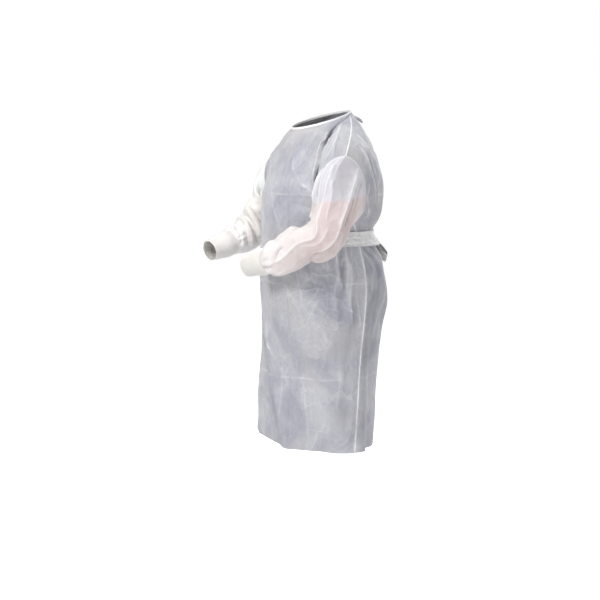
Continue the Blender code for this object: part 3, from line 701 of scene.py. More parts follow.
# Creases placed from the photograph, and like ones on the hidden sides, in millimetres. A row
# is half width, height out of the cloth, power, and a path of places across the cut and up from the
# underarm. A power near 1 is a sharp crest.
FRONT_CREASES = (
    (5.5, -16.5, 1.4, (183, 322), (187, 284), (193, 247), (206, 215), (214, 182), (212, 148),
     (205, 116)),
    (6, 6.2, 1.3, (162, 300), (169, 262), (175, 223), (192, 171), (194, 130)),
    (6.2, 7, 1.3, (212, 350), (252, 322), (306, 292), (350, 268), (372, 256)),
    (6, 5.6, 1.3, (214, 310), (262, 262), (300, 232), (318, 205)),
    (5.2, 4.6, 1.3, (236, 262), (262, 222), (272, 186), (262, 146)),
    (12, 5, 1.6, (222, 350), (290, 300), (335, 262), (352, 215)),
    (6, -6, 1.5, (205, 338), (246, 285), (284, 245), (292, 200)),
    (9, -8, 1.5, (-170, 310), (-186, 250), (-205, 190), (-210, 130)),
    (11, 4.5, 1.6, (-148, 300), (-160, 240), (-176, 170)),
    (12, 4.5, 1.6, (-220, 345), (-285, 290), (-330, 250)),
    (16, 3.4, 1.7, (120, 115), (175, 98), (235, 90), (290, 60)),
    (13, -2.8, 1.6, (105, 60), (180, 45), (250, 30)),
    (14, 2.6, 1.5, (60, 230), (90, 165), (140, 110), (200, 70)),
    (18, 2.8, 1.6, (-20, 150), (10, 60), (70, -20)),
    (6, 3, 1.4, (132, -130), (140, -165), (150, -200), (156, -250)),
    (6, 2.8, 1.4, (206, -196), (190, -222), (168, -250)),
    (6, 2.8, 1.4, (96, -180), (112, -215), (140, -252)),
    (6, 2.4, 1.4, (236, -150), (262, -176), (276, -205)),
    (5, 2.2, 1.4, (180, -150), (214, -160), (250, -152)),
    (5, 2.2, 1.4, (60, -150), (92, -162), (120, -156)),
    (6, 2.4, 1.4, (70, -215), (60, -250), (66, -282)),
    (5, 2.4, 1.4, (210, -240), (232, -262), (262, -264)),
    (7, 2.4, 1.5, (190, -300), (216, -332), (222, -370)),
    (5, 2, 1.4, (120, -352), (146, -364), (172, -356)),
    (7, -2.6, 1.5, (170, -120), (178, -170), (196, -214)),
    (5, -2.2, 1.5, (230, -290), (250, -300), (272, -292)),
    (10, 3, 1.5, (250, -90), (262, -150), (250, -220), (262, -300)),
    (9, 4.2, 1.5, (-36, -310), (-16, -345), (6, -390), (30, -430)),
    (14, -3, 1.6, (-62, -360), (-45, -420), (-20, -500)),
    (22, 3, 1.9, (60, -420), (72, -520), (66, -620)),
    (18, 2.6, 1.9, (150, -500), (162, -580), (170, -660)),
    (14, 2.6, 1.8, (255, -400), (262, -480), (258, -580)),
    (18, 4, 1.7, (-180, -240), (-200, -380), (-190, -560)),
    (16, 3.4, 1.6, (-270, -180), (-262, -330), (-280, -560)),
    (4, 4, 1.3, (321, -190), (327, -260), (333, -345)),
    (4.5, 5.8, 1.3, (291, -110), (299, -170), (296, -240), (304, -318)),
    (5, -4.4, 1.4, (279, -110), (276, -160), (284, -232)),
    (4.5, 3.8, 1.3, (270, -236), (292, -266), (322, -276)),
    (4, 3.2, 1.3, (242, -222), (272, -236), (296, -232)),
    (4, 3.6, 1.3, (136, -196), (166, -204), (198, -198), (226, -206)),
    (4, 3.4, 1.3, (150, -226), (184, -238), (214, -232)),
    (4.2, 3.8, 1.3, (104, -236), (132, -252), (150, -282), (154, -312)),
    (4.2, 3.6, 1.3, (190, -252), (176, -282), (160, -306)),
    (4, 3.2, 1.3, (222, -280), (252, -300), (290, -306)),
    (4.5, 3, 1.3, (206, -306), (236, -322), (262, -320)),
    (4.5, 2.8, 1.3, (152, -398), (184, -410), (206, -402)),
    (4.5, -2.6, 1.4, (176, -380), (196, -390), (222, -384)),
    (5, 4.2, 1.3, (-30, -340), (-10, -372), (18, -404)),
    (7, 5, 1.4, (285, -20), (280, -80), (291, -150), (286, -240)),
    (6, 4.4, 1.4, (258, -66), (254, -120), (262, -190)),
    (6, 3.6, 1.4, (236, -64), (228, -110), (232, -150)),
    (5, -4.4, 1.5, (271, -70), (268, -120), (276, -180)),
    (6, 4, 1.4, (300, -64), (303, -130), (306, -230)),
    (5, -3.4, 1.5, (246, -64), (240, -104), (246, -142)),
)
BACK_CREASES = (
    (10, 4.5, 1.5, (30, 210), (38, 120), (30, 20)),
    (12, -4, 1.6, (62, 240), (66, 140), (58, 10)),
    (12, 4.5, 1.5, (105, 280), (100, 160), (94, 10)),
    (7, 7.8, 1.3, (172, 300), (186, 232), (182, 160), (190, 100)),
    (6, -6.6, 1.4, (196, 226), (202, 160), (196, 90), (206, 30)),
    (6, 7, 1.3, (214, 250), (222, 180), (214, 100), (220, 40)),
    (7, 6.2, 1.3, (150, 240), (146, 180), (158, 110), (152, 40)),
    (5, 5.8, 1.3, (230, 130), (250, 90), (246, 40), (258, 0)),
    (5.5, 7, 1.3, (240, -76), (246, -130), (262, -200), (276, -262)),
    (5, -6, 1.4, (262, -76), (268, -120), (286, -180)),
    (4.5, 5.6, 1.3, (276, -76), (286, -110), (296, -160), (300, -226)),
    (5.5, -6, 1.4, (226, -76), (222, -140), (230, -210)),
    (14, -3.6, 1.6, (160, 300), (150, 180), (142, 20)),
    (13, 4, 1.6, (200, 290), (196, 160), (188, 20)),
    (6, 5.6, 1.4, (12, -80), (18, -160), (14, -260)),
    (7, -5.6, 1.5, (34, -76), (30, -140), (40, -230)),
    (8, 7, 1.4, (56, -74), (60, -180), (54, -330)),
    (8, 6.4, 1.4, (92, -74), (94, -170), (100, -300)),
    (9, -5.6, 1.5, (128, -74), (122, -200), (130, -380)),
    (8, 6.2, 1.4, (156, -74), (160, -190), (154, -330)),
    (9, 5.6, 1.4, (210, -74), (204, -210), (214, -400)),
    (16, -4, 1.7, (50, -360), (60, -480), (52, -640)),
    (16, 4, 1.7, (120, -400), (112, -520), (118, -660)),
)
# Pressed creases from the folded pack: heights up the cut, and places across it
PACK_ROWS = (0.079, -0.190, -0.475)
PACK_COLUMNS = (-0.100, 0.100)
PACK_HALF_WIDTH = 0.0028
PACK_HEIGHT = 0.0013
# Those that run up the gown are troughs, and their depth is this share of the height
PACK_COLUMN_SHARE = 0.8
PACK_UNEVEN = 0.45
PACK_WORN = 0.07
PACK_WHITE = 0.75
PACK_CONTRAST = 1.7
PACK_PATCHES = (0.09, 0.05)
# Metres of a degree round a sleeve, and how far from its top line its crumple is whole. The mesh
# closes on that line
SLEEVE_DEGREE = 0.00105
TOP_LINE_FADE = 0.03
# Shares of a sleeve over which its creases, and then all its relief, end at its seams
SHOULDER_END = 0.05
CUFF_END = 0.06
SEWN_END = 0.01
# Degrees behind the first crease: over how many a sleeve turns deeper in colour, where it is pale
# again, and over how many it turns pale
SHADE_START = 6
SHADE_END = 160
SHADE_FADE = 50
# On a sleeve a path is degrees round from the top crease to the front, and millimetres down the sleeve.
# The first row of each is the crease that runs down from the shoulder
LEFT_SLEEVE_CREASES = (
    (5, 5.6, 1.2, (5, -20), (11, 50), (14, 91), (9, 153), (-11, 192), (-17, 240), (-30, 283),
     (-34, 330), (-34, 400)),
    (5, -6.4, 1.4, (0, 283), (-8, 300), (-26, 322), (-44, 336)),
    (5, 5.6, 1.2, (-40, -10), (-47, 50), (-53, 110), (-56, 170), (-50, 225)),
    (7, -5, 1.5, (-66, 20), (-70, 80), (-74, 150)),
    (5.5, 5, 1.3, (22, 6), (30, 40), (36, 84), (32, 130)),
    (6, 5.4, 1.3, (44, 4), (50, 40), (58, 76), (54, 116)),
    (5, -4.2, 1.4, (34, 20), (41, 60), (45, 104)),
    (5.5, 4.6, 1.3, (66, 10), (73, 42), (84, 70)),
    (6, 2.6, 1.4, (18, 30), (10, 66), (-6, 104), (-16, 150)),
    (7, 2.6, 1.4, (-22, 150), (-30, 196), (-26, 240)),
    (10, -6, 1.5, (60, 15), (78, 50), (92, 85), (110, 110)),
    (10, 4, 1.5, (36, 30), (52, 70), (70, 105), (84, 150)),
    (8, -8.5, 1.4, (150, 120), (110, 150), (75, 170), (45, 172)),
    (9, 5.8, 1.4, (140, 100), (100, 128), (62, 140)),
    (9, 6.4, 1.4, (140, 172), (100, 196), (62, 205), (30, 200)),
    (8, -6, 1.5, (120, 222), (84, 232), (52, 232)),
    (7, 4.6, 1.4, (110, 246), (80, 258), (50, 262)),
    (12, 3, 1.6, (-40, 30), (-52, 90), (-50, 150)),
    (11, -4.5, 1.5, (-70, 10), (-84, 70), (-96, 120)),
    (10, 4, 1.5, (-60, 150), (-84, 180), (-110, 196)),
    (11, -3.6, 1.5, (-46, 196), (-70, 220), (-104, 240), (-140, 246)),
    (9, 3.4, 1.5, (40, 262), (20, 290), (10, 330), (16, 370)),
    (10, -3.4, 1.5, (96, 262), (76, 300), (66, 345)),
    (10, 3.6, 1.5, (-84, 270), (-70, 310), (-78, 360)),
    (9, -3, 1.5, (-120, 262), (-112, 310), (-118, 350)),
)
RIGHT_SLEEVE_CREASES = (
    (4.5, 3.2, 1.2, (5, -20), (8, 60), (4, 140), (-6, 220), (-6, 320)),
    (8, -6, 1.4, (60, 150), (110, 176), (160, 180), (200, 170)),
    (8, 5, 1.4, (70, 172), (120, 196), (170, 204), (215, 196)),
    (7, -5.5, 1.4, (55, 196), (110, 216), (160, 226), (205, 222)),
    (7, 5, 1.4, (60, 214), (105, 233), (150, 245), (200, 246)),
    (6, -4.8, 1.4, (50, 232), (100, 250), (145, 262), (190, 266)),
    (6, 4, 1.4, (60, 250), (100, 265), (140, 276), (180, 281)),
    (10, -5, 1.5, (90, 20), (104, 70), (120, 120)),
    (10, 4, 1.5, (60, 40), (80, 90), (96, 140)),
    (11, 3.4, 1.6, (-40, 60), (-60, 110), (-70, 150)),
    (10, -3.4, 1.5, (-80, 40), (-96, 100), (-110, 140)),
    (9, -4, 1.5, (-30, 180), (-70, 206), (-110, 220)),
    (8, 3.6, 1.5, (-40, 226), (-80, 246), (-110, 256)),
)
# Facets of each layer of crumple: metres across, metres along and height
BODY_CRUMPLE = ((0.120, 0.210, 0.0046), (0.052, 0.078, 0.0028), (0.024, 0.031, 0.0011))
BACK_CRUMPLE = ((0.070, 0.200, 0.0034), (0.034, 0.080, 0.0016), (0.020, 0.030, 0.0006))
SLEEVE_CRUMPLE = ((0.075, 0.120, 0.0034), (0.038, 0.050, 0.0017), (0.020, 0.024, 0.0006))
# More crumple where the hips move: the middle across and up the cut, its half sizes and its gain
HIP_CRUMPLE = (0.195, -0.235, 0.120, 0.120, 1.8)
# Patches of painted light and shade: whiter where light comes through the cloth, darker where it lies
# in shade. Middle across and up the cut, half sizes, and how much whiter or darker
FRONT_PAINTED_LIGHT = (
    (-0.150, -0.600, 0.110, 0.260, 0.24),
    (-0.110, -0.240, 0.060, 0.300, 0.16),
    (-0.060, -0.020, 0.055, 0.120, 0.34),
    (0.120, 0.070, 0.070, 0.100, -0.14),
    (0.160, -0.150, 0.080, 0.070, -0.10),
    (0.090, -0.340, 0.110, 0.120, -0.10),
    (0.200, -0.640, 0.120, 0.140, -0.12),
    (0.290, -0.420, 0.050, 0.300, -0.16),
    (0.180, -0.420, 0.070, 0.080, -0.10),
    (0.282, -0.150, 0.050, 0.080, 0.26),
    (0.300, 0.300, 0.060, 0.060, 0.22),
)
# Painted shade on the back beside the side seam, and painted light on its upper part
BACK_PAINTED_LIGHT = (
    (0.270, -0.340, 0.070, 0.300, -0.46),
    (0.120, -0.340, 0.160, 0.340, -0.10),
    (0.170, 0.200, 0.090, 0.110, 0.30),
    (0.240, 0.040, 0.080, 0.090, 0.14),
)
PAINTED_LIGHT_SWING = 0.5
PAINTED_LIGHT_PATCHES = (0.060, 0.085)
SEAM_FADE = 0.022
# Gathers of a sleeve where it joins its cuff: height, reach up the sleeve and length
CUFF_GATHER_HEIGHT = 0.0055
CUFF_GATHER_REACH = 0.045
CUFF_GATHER_LENGTH = 0.07
# Cloth is whiter along a crest, partly its own whitening and partly painted highlight, and greyer in a
# trough, which is painted shade
CREST_WHITE = 0.16
CREST_HALF_WIDTH = 0.0022
LINE_SHARE = 0.42
WIDEST_LINE = 0.0034
SLEEVE_WHITE_HEIGHT = 0.0038
BACK_WHITE_HEIGHT = 0.0080
SEAM_WHITE = 0.36
SEAM_WHITE_REACH = 0.0055
# Pucker beside a seam: height, reach, and lengths of its waves along and off the seam
PUCKER_HEIGHT = 0.0012
PUCKER_REACH = 0.013
PUCKER_WAVES = (0.011, 0.030)
# Shares of the relief that are lost under the ties and in the lap
TIE_CALM = 0.9
TIE_CALM_REACH = 0.030
LAP_CALM = 0.72

# Seams: stitches, and ridges of turned cloth
STITCH_SIDES = 5
# Each ring's place along a stitch and its size, as shares
STITCH_PROFILE = ((-0.5, 0.25), (-0.3, 0.9), (0.3, 0.9), (0.5, 0.25))
STITCH_SHARE = 0.72
STITCH_WIDTH = 0.00055
STITCH_PITCH = 0.0032
# How far stitches lie aside of a seam and above it
SEAM_STITCH_ASIDE = 0.0032
SEAM_STITCH_LIFT = 0.0004
CUFF_STITCH_ASIDE = 0.0030
CUFF_STITCH_LIFT = 0.0005
TIE_STITCH_LIFT = 0.0003
BINDING_STITCH_UP = -0.0002
BINDING_STITCH_LIFT = 0.0002
BINDING_STITCH_PITCH = 0.0026
WELT_PITCH = 0.0030
# Half width and rise
SEAM_WELT = (0.0025, 0.0012)
CUFF_WELT = (0.0022, 0.0011)
WELT_SUNK = 0.0003
# How far the outward directions of two seams lean to the side and up
ARMHOLE_LEAN = 0.8
SHOULDER_LEAN = 0.6
WELT_POINTS = 7
# How much a welt changes in size and in whiteness, and over what lengths
WELT_SWING = 0.34
WELT_UNEVEN = 0.014
WELT_WHITE_SWING = 0.55
WELT_WORN = 0.05


def pack_heights(x, y):
    """The straight sharp creases that the gown was folded along in its packet."""
    rows = [bell(y - place, PACK_HALF_WIDTH) for place in PACK_ROWS]
    columns = [bell(x - place, PACK_HALF_WIDTH) for place in PACK_COLUMNS]
    patchiness = uneven(PACK_UNEVEN, noise(x / PACK_WORN, y / PACK_WORN, 91))
    return PACK_HEIGHT * (sum(rows) - PACK_COLUMN_SHARE * sum(columns)) * patchiness


def pack_whites(packed, x, y):
    """How white the packing creases are, partly their own pressed whiteness and partly painted
    highlight, with painted shade in the troughs that run up the gown; broken up in patches.
    """
    kept = soft_step(0.55 + PACK_CONTRAST * noise(x / PACK_PATCHES[0] + 3, y / PACK_PATCHES[1], 95))
    return PACK_WHITE * kept * np.clip(packed / PACK_HEIGHT, -0.3, 1)


def painted_light_patches(table, x, y):
    """Painted light and shade: how much whiter cloth is where light comes through it, and how much
    darker where little does.
    """
    total = np.zeros_like(x)
    for across, up, half_across, half_up, white in table:
        total += white * bell(x - across, half_across) * bell(y - up, half_up)
    return total * (1 + PAINTED_LIGHT_SWING * noise(x / PAINTED_LIGHT_PATCHES[0], y / PAINTED_LIGHT_PATCHES[1], 97))


def seam_pucker(from_seam, along, seed):
    """Short waves where the thread draws the cloth in beside a seam. Both places are in metres."""
    waves = noise(along / PUCKER_WAVES[0], from_seam / PUCKER_WAVES[1], seed)
    return PUCKER_HEIGHT * waves * bell(from_seam, PUCKER_REACH)


def tie_calm(places, z, start):
    """Near 0 under the waist ties, so the cloth stays beneath them, and 1 elsewhere."""
    under = bell(z - TIE_Z[1], TIE_CALM_REACH)
    return 1 - TIE_CALM * under * soft_step((np.abs(places) - start) / SIDE_FADE)


def lap_calm(places):
    """Low where one back panel lies over the other, so the layers stay apart."""
    return 1 - LAP_CALM * soft_step((LAP_START - np.abs(places)) / LAP_BLEND)


# Meshes

# Whiteness of each point: crest whitening, partly the cloth's own and partly painted highlight, painted
# shade in troughs and hollows, and patches of painted light and shade
WHITENESS_AND_PAINTED_LIGHT = "whiteness_and_painted_light"
SHADE = "deeper_tint"


def new_piece(name, points, faces):
    """A smooth mesh from points and the corners of its faces."""
    mesh = bpy.data.meshes.new(name)
    mesh.from_pydata(points.reshape(-1, 3).tolist(), [], faces)
    mesh.shade_smooth()
    mesh.update()
    piece = bpy.data.objects.new(name, mesh)
    bpy.context.scene.collection.objects.link(piece)
    return piece


def surface(name, grid, uv_x, uv_y, closed=False, white=None, shade=None):
    """A mesh from rows of points, whose UV map is the flat cloth in metres. white and shade are values
    that its material reads: the crests, whose whiteness is partly painted highlight, painted shade in
    troughs, patches of painted light and shade, and where the cloth is deeper in colour."""
    rows, columns = grid.shape[:2]
    span = columns if closed else columns - 1
    row, place = np.meshgrid(np.arange(rows - 1), np.arange(span), indexing="ij")
    beside = (place + 1) % columns
    low = row * columns
    high = low + columns
    corners = np.stack([low + place, low + beside, high + beside, high + place], axis=2).reshape(-1, 4)
    piece = new_piece(name, grid, corners.tolist())
    uvs = np.stack([uv_x, uv_y], axis=2).reshape(-1, 2)[corners.reshape(-1)]
    if closed:
        last = (place == columns - 1).reshape(-1)
        uvs = uvs.reshape(-1, 4, 2)
        step = uv_x[0, 1] - uv_x[0, 0]
        uvs[last, 1, 0] = uvs[last, 0, 0] + step
        uvs[last, 2, 0] = uvs[last, 3, 0] + step
    layer = piece.data.uv_layers.new(name="flat_cloth")
    layer.data.foreach_set("uv", uvs.reshape(-1).astype(np.float32))
    for attribute, values in ((WHITENESS_AND_PAINTED_LIGHT, white), (SHADE, shade)):
        if values is not None:
            held = piece.data.attributes.new(attribute, "FLOAT", "POINT")
            held.data.foreach_set("value", np.clip(values, -1, 1).reshape(-1).astype(np.float32))
    piece.data.update()
    return piece


def dress(piece, material, slot, *nodes):
    """Gives a piece its material, sets it on the root, and hides the nodes it stands for. slot is not
    used.
    """
    piece.data.materials.append(material)
    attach(piece, "root")
    if nodes:
        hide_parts(*nodes)
    return piece


def thickened(piece, wall):
    """Turns a one-layer mesh into a closed one, inward from its outer face."""
    modifier = piece.modifiers.new("cloth_wall", "SOLIDIFY")
    modifier.thickness = wall
    modifier.offset = -1.0
    bpy.context.view_layer.objects.active = piece
    with bpy.context.temp_override(object=piece, active_object=piece, selected_objects=[piece]):
        bpy.ops.object.modifier_apply(modifier=modifier.name)
    return piece


def joined_shapes(name, shape, faces, places, ways, outs):
    """One mesh of many small copies. A shape's axes are along the way, across it, and outward."""
    axes = np.stack([ways, unit(np.cross(outs, ways)), outs], axis=1)
    points = places[:, None] + shape @ axes
    shifts = range(0, len(places) * len(shape), len(shape))
    all_faces = [[corner + shift for corner in face] for shift in shifts for face in faces]
    return new_piece(name, points, all_faces)


def stitch_shape(length, width):
    """A stitch: a short rounded thread, as rings of points along it."""
    sides = range(STITCH_SIDES)
    shape = []
    faces = []
    for ring, (along, size) in enumerate(STITCH_PROFILE):
        start = ring * STITCH_SIDES
        for step in sides:
            turn = 2 * math.pi * step / STITCH_SIDES
            radius = size * width / 2
            shape.append((along * length, math.cos(turn) * radius, math.sin(turn) * radius))
            if ring:
                beside = (step + 1) % STITCH_SIDES
                low = start - STITCH_SIDES
                faces.append((low + step, low + beside, start + beside, start + step))
    faces.append([*sides][::-1])
    faces.append([start + step for step in sides])
    return np.array(shape), faces


def spaced(path, outs, pitch):
    """Places, ways and outward directions at even distances along a path."""
    far = running_length(path)
    count = int(far[-1] / pitch)
    at = (np.arange(count) + 0.5) * far[-1] / count
    places = points_at(at, far, path)
    directions = points_at(at, far, outs)
    ways = unit(np.gradient(places, axis=0))
    directions -= ways * np.sum(directions * ways, axis=1, keepdims=True)
    return places, ways, unit(directions)


def stitches(name, path, outs, aside, lift, pitch=STITCH_PITCH):
    """A row of stitches along a path. aside is across it."""
    places, ways, directions = spaced(path, outs, pitch)
    places = places + np.cross(directions, ways) * aside + directions * lift
    shape, faces = stitch_shape(pitch * STITCH_SHARE, STITCH_WIDTH)
    return dress(joined_shapes(name, shape, faces, places, ways, directions), thread, "strip_cloth")


def welt(name, path, outs, half_width, rise, seed, white):
    """A narrow raised ridge of turned cloth along a seam, a little uneven in size and whiteness."""
    places, ways, directions = spaced(path, outs, WELT_PITCH)
    across = np.cross(directions, ways)
    along = (np.arange(len(places)) * WELT_PITCH)[:, None]
    size = 1 + WELT_SWING * noise(along / WELT_UNEVEN, 0 * along, seed)
    marks = np.linspace(-1, 1, WELT_POINTS)
    aside = marks * half_width * size
    up = rise * (1 - marks**2) * size - WELT_SUNK
    grid = places[:, None] + across[:, None] * aside[..., None] + directions[:, None] * up[..., None]
    flat = np.zeros_like(aside)
    patchiness = white + WELT_WHITE_SWING * noise(along / WELT_WORN, 0 * along, seed + 4)
    return surface(name, grid, flat + marks * half_width, flat + along, white=flat + patchiness)


# Cloth pieces


Panel = namedtuple("Panel", "points outs x y white")
Sleeve = namedtuple("Sleeve", "rings outs crease way x down white shade")


def crumpled_panel(
    grid, places, x, y, to_side, from_seam, creases, facets, clear, calm, tie_start, seed
):
    """A panel with its creases, facets, packing creases and pucker. creases and facets are heights and
    whiteness, clear is painted light and shade alone, and calm lowers the heights where layers meet."""
    packed = pack_heights(x, y)
    lift = (creases[0] + facets[0] + packed) * calm * soft_step(to_side / SEAM_FADE)
    lift += seam_pucker(to_side, y, seed)
    lift *= edges_kept(from_seam) * tie_calm(places, grid[..., 2], tie_start - SIDE_FADE)
    outs = outward(grid)
    white = creases[1] + facets[1] + pack_whites(packed, x, y) + clear
    white += SEAM_WHITE * bell(to_side, SEAM_WHITE_REACH)
    return Panel(grid + outs * lift[..., None], outs, x, y, white)


def front_piece():
    """The crumpled front panel."""
    grid, places = front_form()
    x, y = flat_places(grid, FRONT_STEPS // 2)
    to_side = np.abs(np.where(places < 0, x[:, :1], x[:, -1:])) - np.abs(x)
    heights, edges = crumple(x, y, 11, BODY_CRUMPLE)
    across, up, half_across, half_up, gain = HIP_CRUMPLE
    at_hip = gain * bell(np.abs(x) - across, half_across) * bell(y - up, half_up)
    small, small_edges = crumple(x, y, 17, BODY_CRUMPLE[1:])
    facets = (heights + at_hip * small, edges + at_hip * small_edges)
    creases = crease_heights(FRONT_CREASES, x, y)
    # Patches of painted light and shade
    clear = painted_light_patches(FRONT_PAINTED_LIGHT, x, y)
    return crumpled_panel(grid, places, x, y, to_side, 1 - np.abs(places), creases, facets, clear,
                          1.0, TIE_FRONT_START, 12)


def back_piece(side):
    """One crumpled back panel."""
    grid, places = back_form(side)
    x, y = flat_places(grid, CENTRE_COLUMN)
    x *= -side
    to_side = np.abs(x[:, :1]) - side * x
    creases = crease_heights(BACK_CREASES, np.abs(x), y, full_white=BACK_WHITE_HEIGHT)
    facets = crumple(x, y, 21 + side, BACK_CRUMPLE)
    # Patches of painted light and shade
    clear = painted_light_patches(BACK_PAINTED_LIGHT, np.abs(x), y)
    return crumpled_panel(grid, places, x, y, to_side, 1 - side * places, creases, facets, clear,
                          lap_calm(places), 0.0, 24 + side)


def cuff_gathers(degrees, to_cuff, seed):
    """Uneven gathers round a sleeve, from 0 up the arm to full height at its cuff."""
    cos_round = np.cos(np.radians(degrees))
    sin_round = np.sin(np.radians(degrees))
    round_it = 8.0 + 3.0 * cos_round + 2.2 * sin_round
    waves = noise(round_it, to_cuff / CUFF_GATHER_LENGTH + sin_round, seed)
    return waves * bell(to_cuff, CUFF_GATHER_REACH)


def sleeve_piece(side, edge, table, folds, creases, seed):
    """One crumpled sleeve. crease and way are its last ring's, and shade is where it is deeper."""
    rings, crease, way = sleeve_form(side, edge, table, folds)
    down, degrees = ring_places(rings)
    x = degrees * SLEEVE_DEGREE
    to_cuff = down[-1, 0] - down
    shares = down / down[-1, 0]
    lift, crests = crease_heights(creases, x, down, SLEEVE_DEGREE, SLEEVE_WHITE_HEIGHT)
    facets, edges = crumple(x, down, seed, SLEEVE_CRUMPLE)
    to_top = np.minimum(x, 360 * SLEEVE_DEGREE - x)
    off_top = soft_step(to_top / TOP_LINE_FADE)
    gathers = cuff_gathers(degrees, to_cuff, seed + 5)
    lift += facets * off_top + CUFF_GATHER_HEIGHT * gathers
    lift *= soft_step(shares / SHOULDER_END) * soft_step((1 - shares) / CUFF_END)
    lift += seam_pucker(down, x, seed + 1) + seam_pucker(to_cuff, x, seed + 2)
    lift *= soft_step(np.minimum(shares, 1 - shares) / SEWN_END)
    round_it = np.roll(rings, -1, axis=1) - np.roll(rings, 1, axis=1)
    outs = unit(np.cross(np.gradient(rings, axis=0), round_it))
    outs *= np.sign(np.sum(outs * (rings - rings.mean(axis=1, keepdims=True)), axis=2).mean())
    turns, depths = np.transpose(creases[0][3:])
    behind = (np.interp(1000 * down, depths, turns) - degrees + 180) % 360 - 180
    shade = soft_step(behind / SHADE_START) * soft_step((SHADE_END - behind) / SHADE_FADE)
    # Crest whitening, partly the cloth's own and partly painted highlight, painted shade in troughs, and
    # painted light and shade on the ridges and hollows of the cuff gathers
    white = crests + edges * off_top + gathers
    return Sleeve(rings + outs * lift[..., None], outs, crease, way, x, down, white, shade)


def cuff_rings(side, last_ring, crease, way):
    """The ribbed cuff, from the sleeve's last ring."""
    columns = CUFF_RIBS * CUFF_STEPS_A_RIB
    turns = 2 * math.pi * np.arange(columns) / columns
    steps = 2 * math.pi * np.arange(len(last_ring) + 1) / len(last_ring)
    start = points_at(turns, steps, np.vstack([last_ring, last_ring[:1]])) + way * SEAM_GAP
    middle = last_ring.mean(axis=0) + way * SEAM_GAP
    out = crease * np.cos(turns)[:, None] + np.cross(way, crease) * side * np.sin(turns)[:, None]
    shares = np.linspace(0.0, 1.0, CUFF_STEPS + 1)
    sizes = curve_value(CUFF_SIZES, shares)
    rings = []
    for share, size in zip(shares, sizes):
        along = np.full(columns, CUFF_LENGTH * share)
        drift = RIB_DRIFT * noise(turns * 2.2, along / RIB_DRIFT_LENGTH, 41)
        soft = CUFF_UNEVEN * noise(turns * 1.6, along / CUFF_UNEVEN_LENGTH, 42)
        rise = (RIB_RISE * np.cos(CUFF_RIBS * turns + drift) + soft) * soft_step(share / CUFF_START)
        ring = middle + way * CUFF_LENGTH * share + out * (size + rise)[:, None]
        kept = soft_step(share / CUFF_ROUNDED)
        rings.append(start * (1 - kept) + ring * kept)
    x = np.tile(turns * CUFF_FLAT_RADIUS, (CUFF_STEPS + 1, 1))
    y = np.tile((shares * CUFF_LENGTH)[:, None], (1, columns))
    return np.array(rings), x, y


# Strips: the binding, the waist ties and the bows


def level_normals(points):
    """Level directions out of a row of points that runs round the body."""
    ways = np.gradient(points, axis=0)
    normals = unit(np.stack([ways[:, 1], -ways[:, 0], np.zeros(len(points))], axis=1))
    return normals * np.sign(np.sum(normals * points, axis=1, keepdims=True))


def strip_places(grid):
    """Metres along and across a strip, for rows that run along it."""
    along = running_length(grid, 1).mean(axis=0)
    across = running_length(grid).mean(axis=1)
    return np.tile(along, (len(grid), 1)), np.tile(across[:, None], (1, grid.shape[1]))


def strip_lift(along, across, seed, pleats, crumpled=1.0):
    """Lengthwise pleats of a folded strip with small crumples."""
    wander = PLEAT_WANDER_TURN * noise(along / PLEAT_WANDER, 0 * along, seed)
    width = across.max()
    waves = np.cos(2 * math.pi * (pleats * across / width + wander))
    swell = uneven(PLEAT_UNEVEN, noise(along / PLEAT_SWELL[0], across / PLEAT_SWELL[1], seed + 1))
    small = noise(along / STRIP_FACETS[0], across / STRIP_FACETS[1], seed + 2)
    return crumpled * (PLEAT_HEIGHT * waves * swell + STRIP_CRUMPLE * (0.3 - np.abs(small)))


def waist_tie_rows(side):
    """A waist tie on the gathers, from the side of the front to the knot."""
    end = TIE_END_X / running_length(back_section(TIE_Z[1], np.linspace(0, 1, 40)))[-1]
    front_steps = TIE_STEPS // 5
    in_front = np.linspace(TIE_FRONT_START, 1.0, front_steps)
    behind = np.linspace(1.0, end, TIE_STEPS - front_steps + 1)[1:]
    share_round = np.linspace(0.0, 1.0, len(in_front) + len(behind))
    to_knot = (share_round - TIE_FLARE_END) / (1 - TIE_FLARE_END)
    flared = soft_step(share_round * 2) * (1 - soft_step(to_knot))
    lap_start = TIE_LAP_STARTS[side]
    lap = np.concatenate([np.zeros(len(in_front)), soft_step((lap_start - behind) / LAP_BLEND)])
    heights = np.linspace(0.0, len(TIE_Z) - 1.0, TIE_ROWS)
    levels = smooth_value(heights, np.arange(len(TIE_Z)), np.array(TIE_Z))
    flares = smooth_value(heights, np.arange(len(TIE_Z)), np.array(TIE_FLARE))
    rows = []
    for z, flare in zip(levels, flares):
        row = np.vstack([front_section(z, side * in_front), back_section(z, side * behind)])
        out = curve_value(GATHER_HEIGHTS, z) + TIE_CLEAR + WALL + flare * flared + LAP_RISE * lap
        rows.append(row + level_normals(row) * out[:, None])
    return np.array(rows)


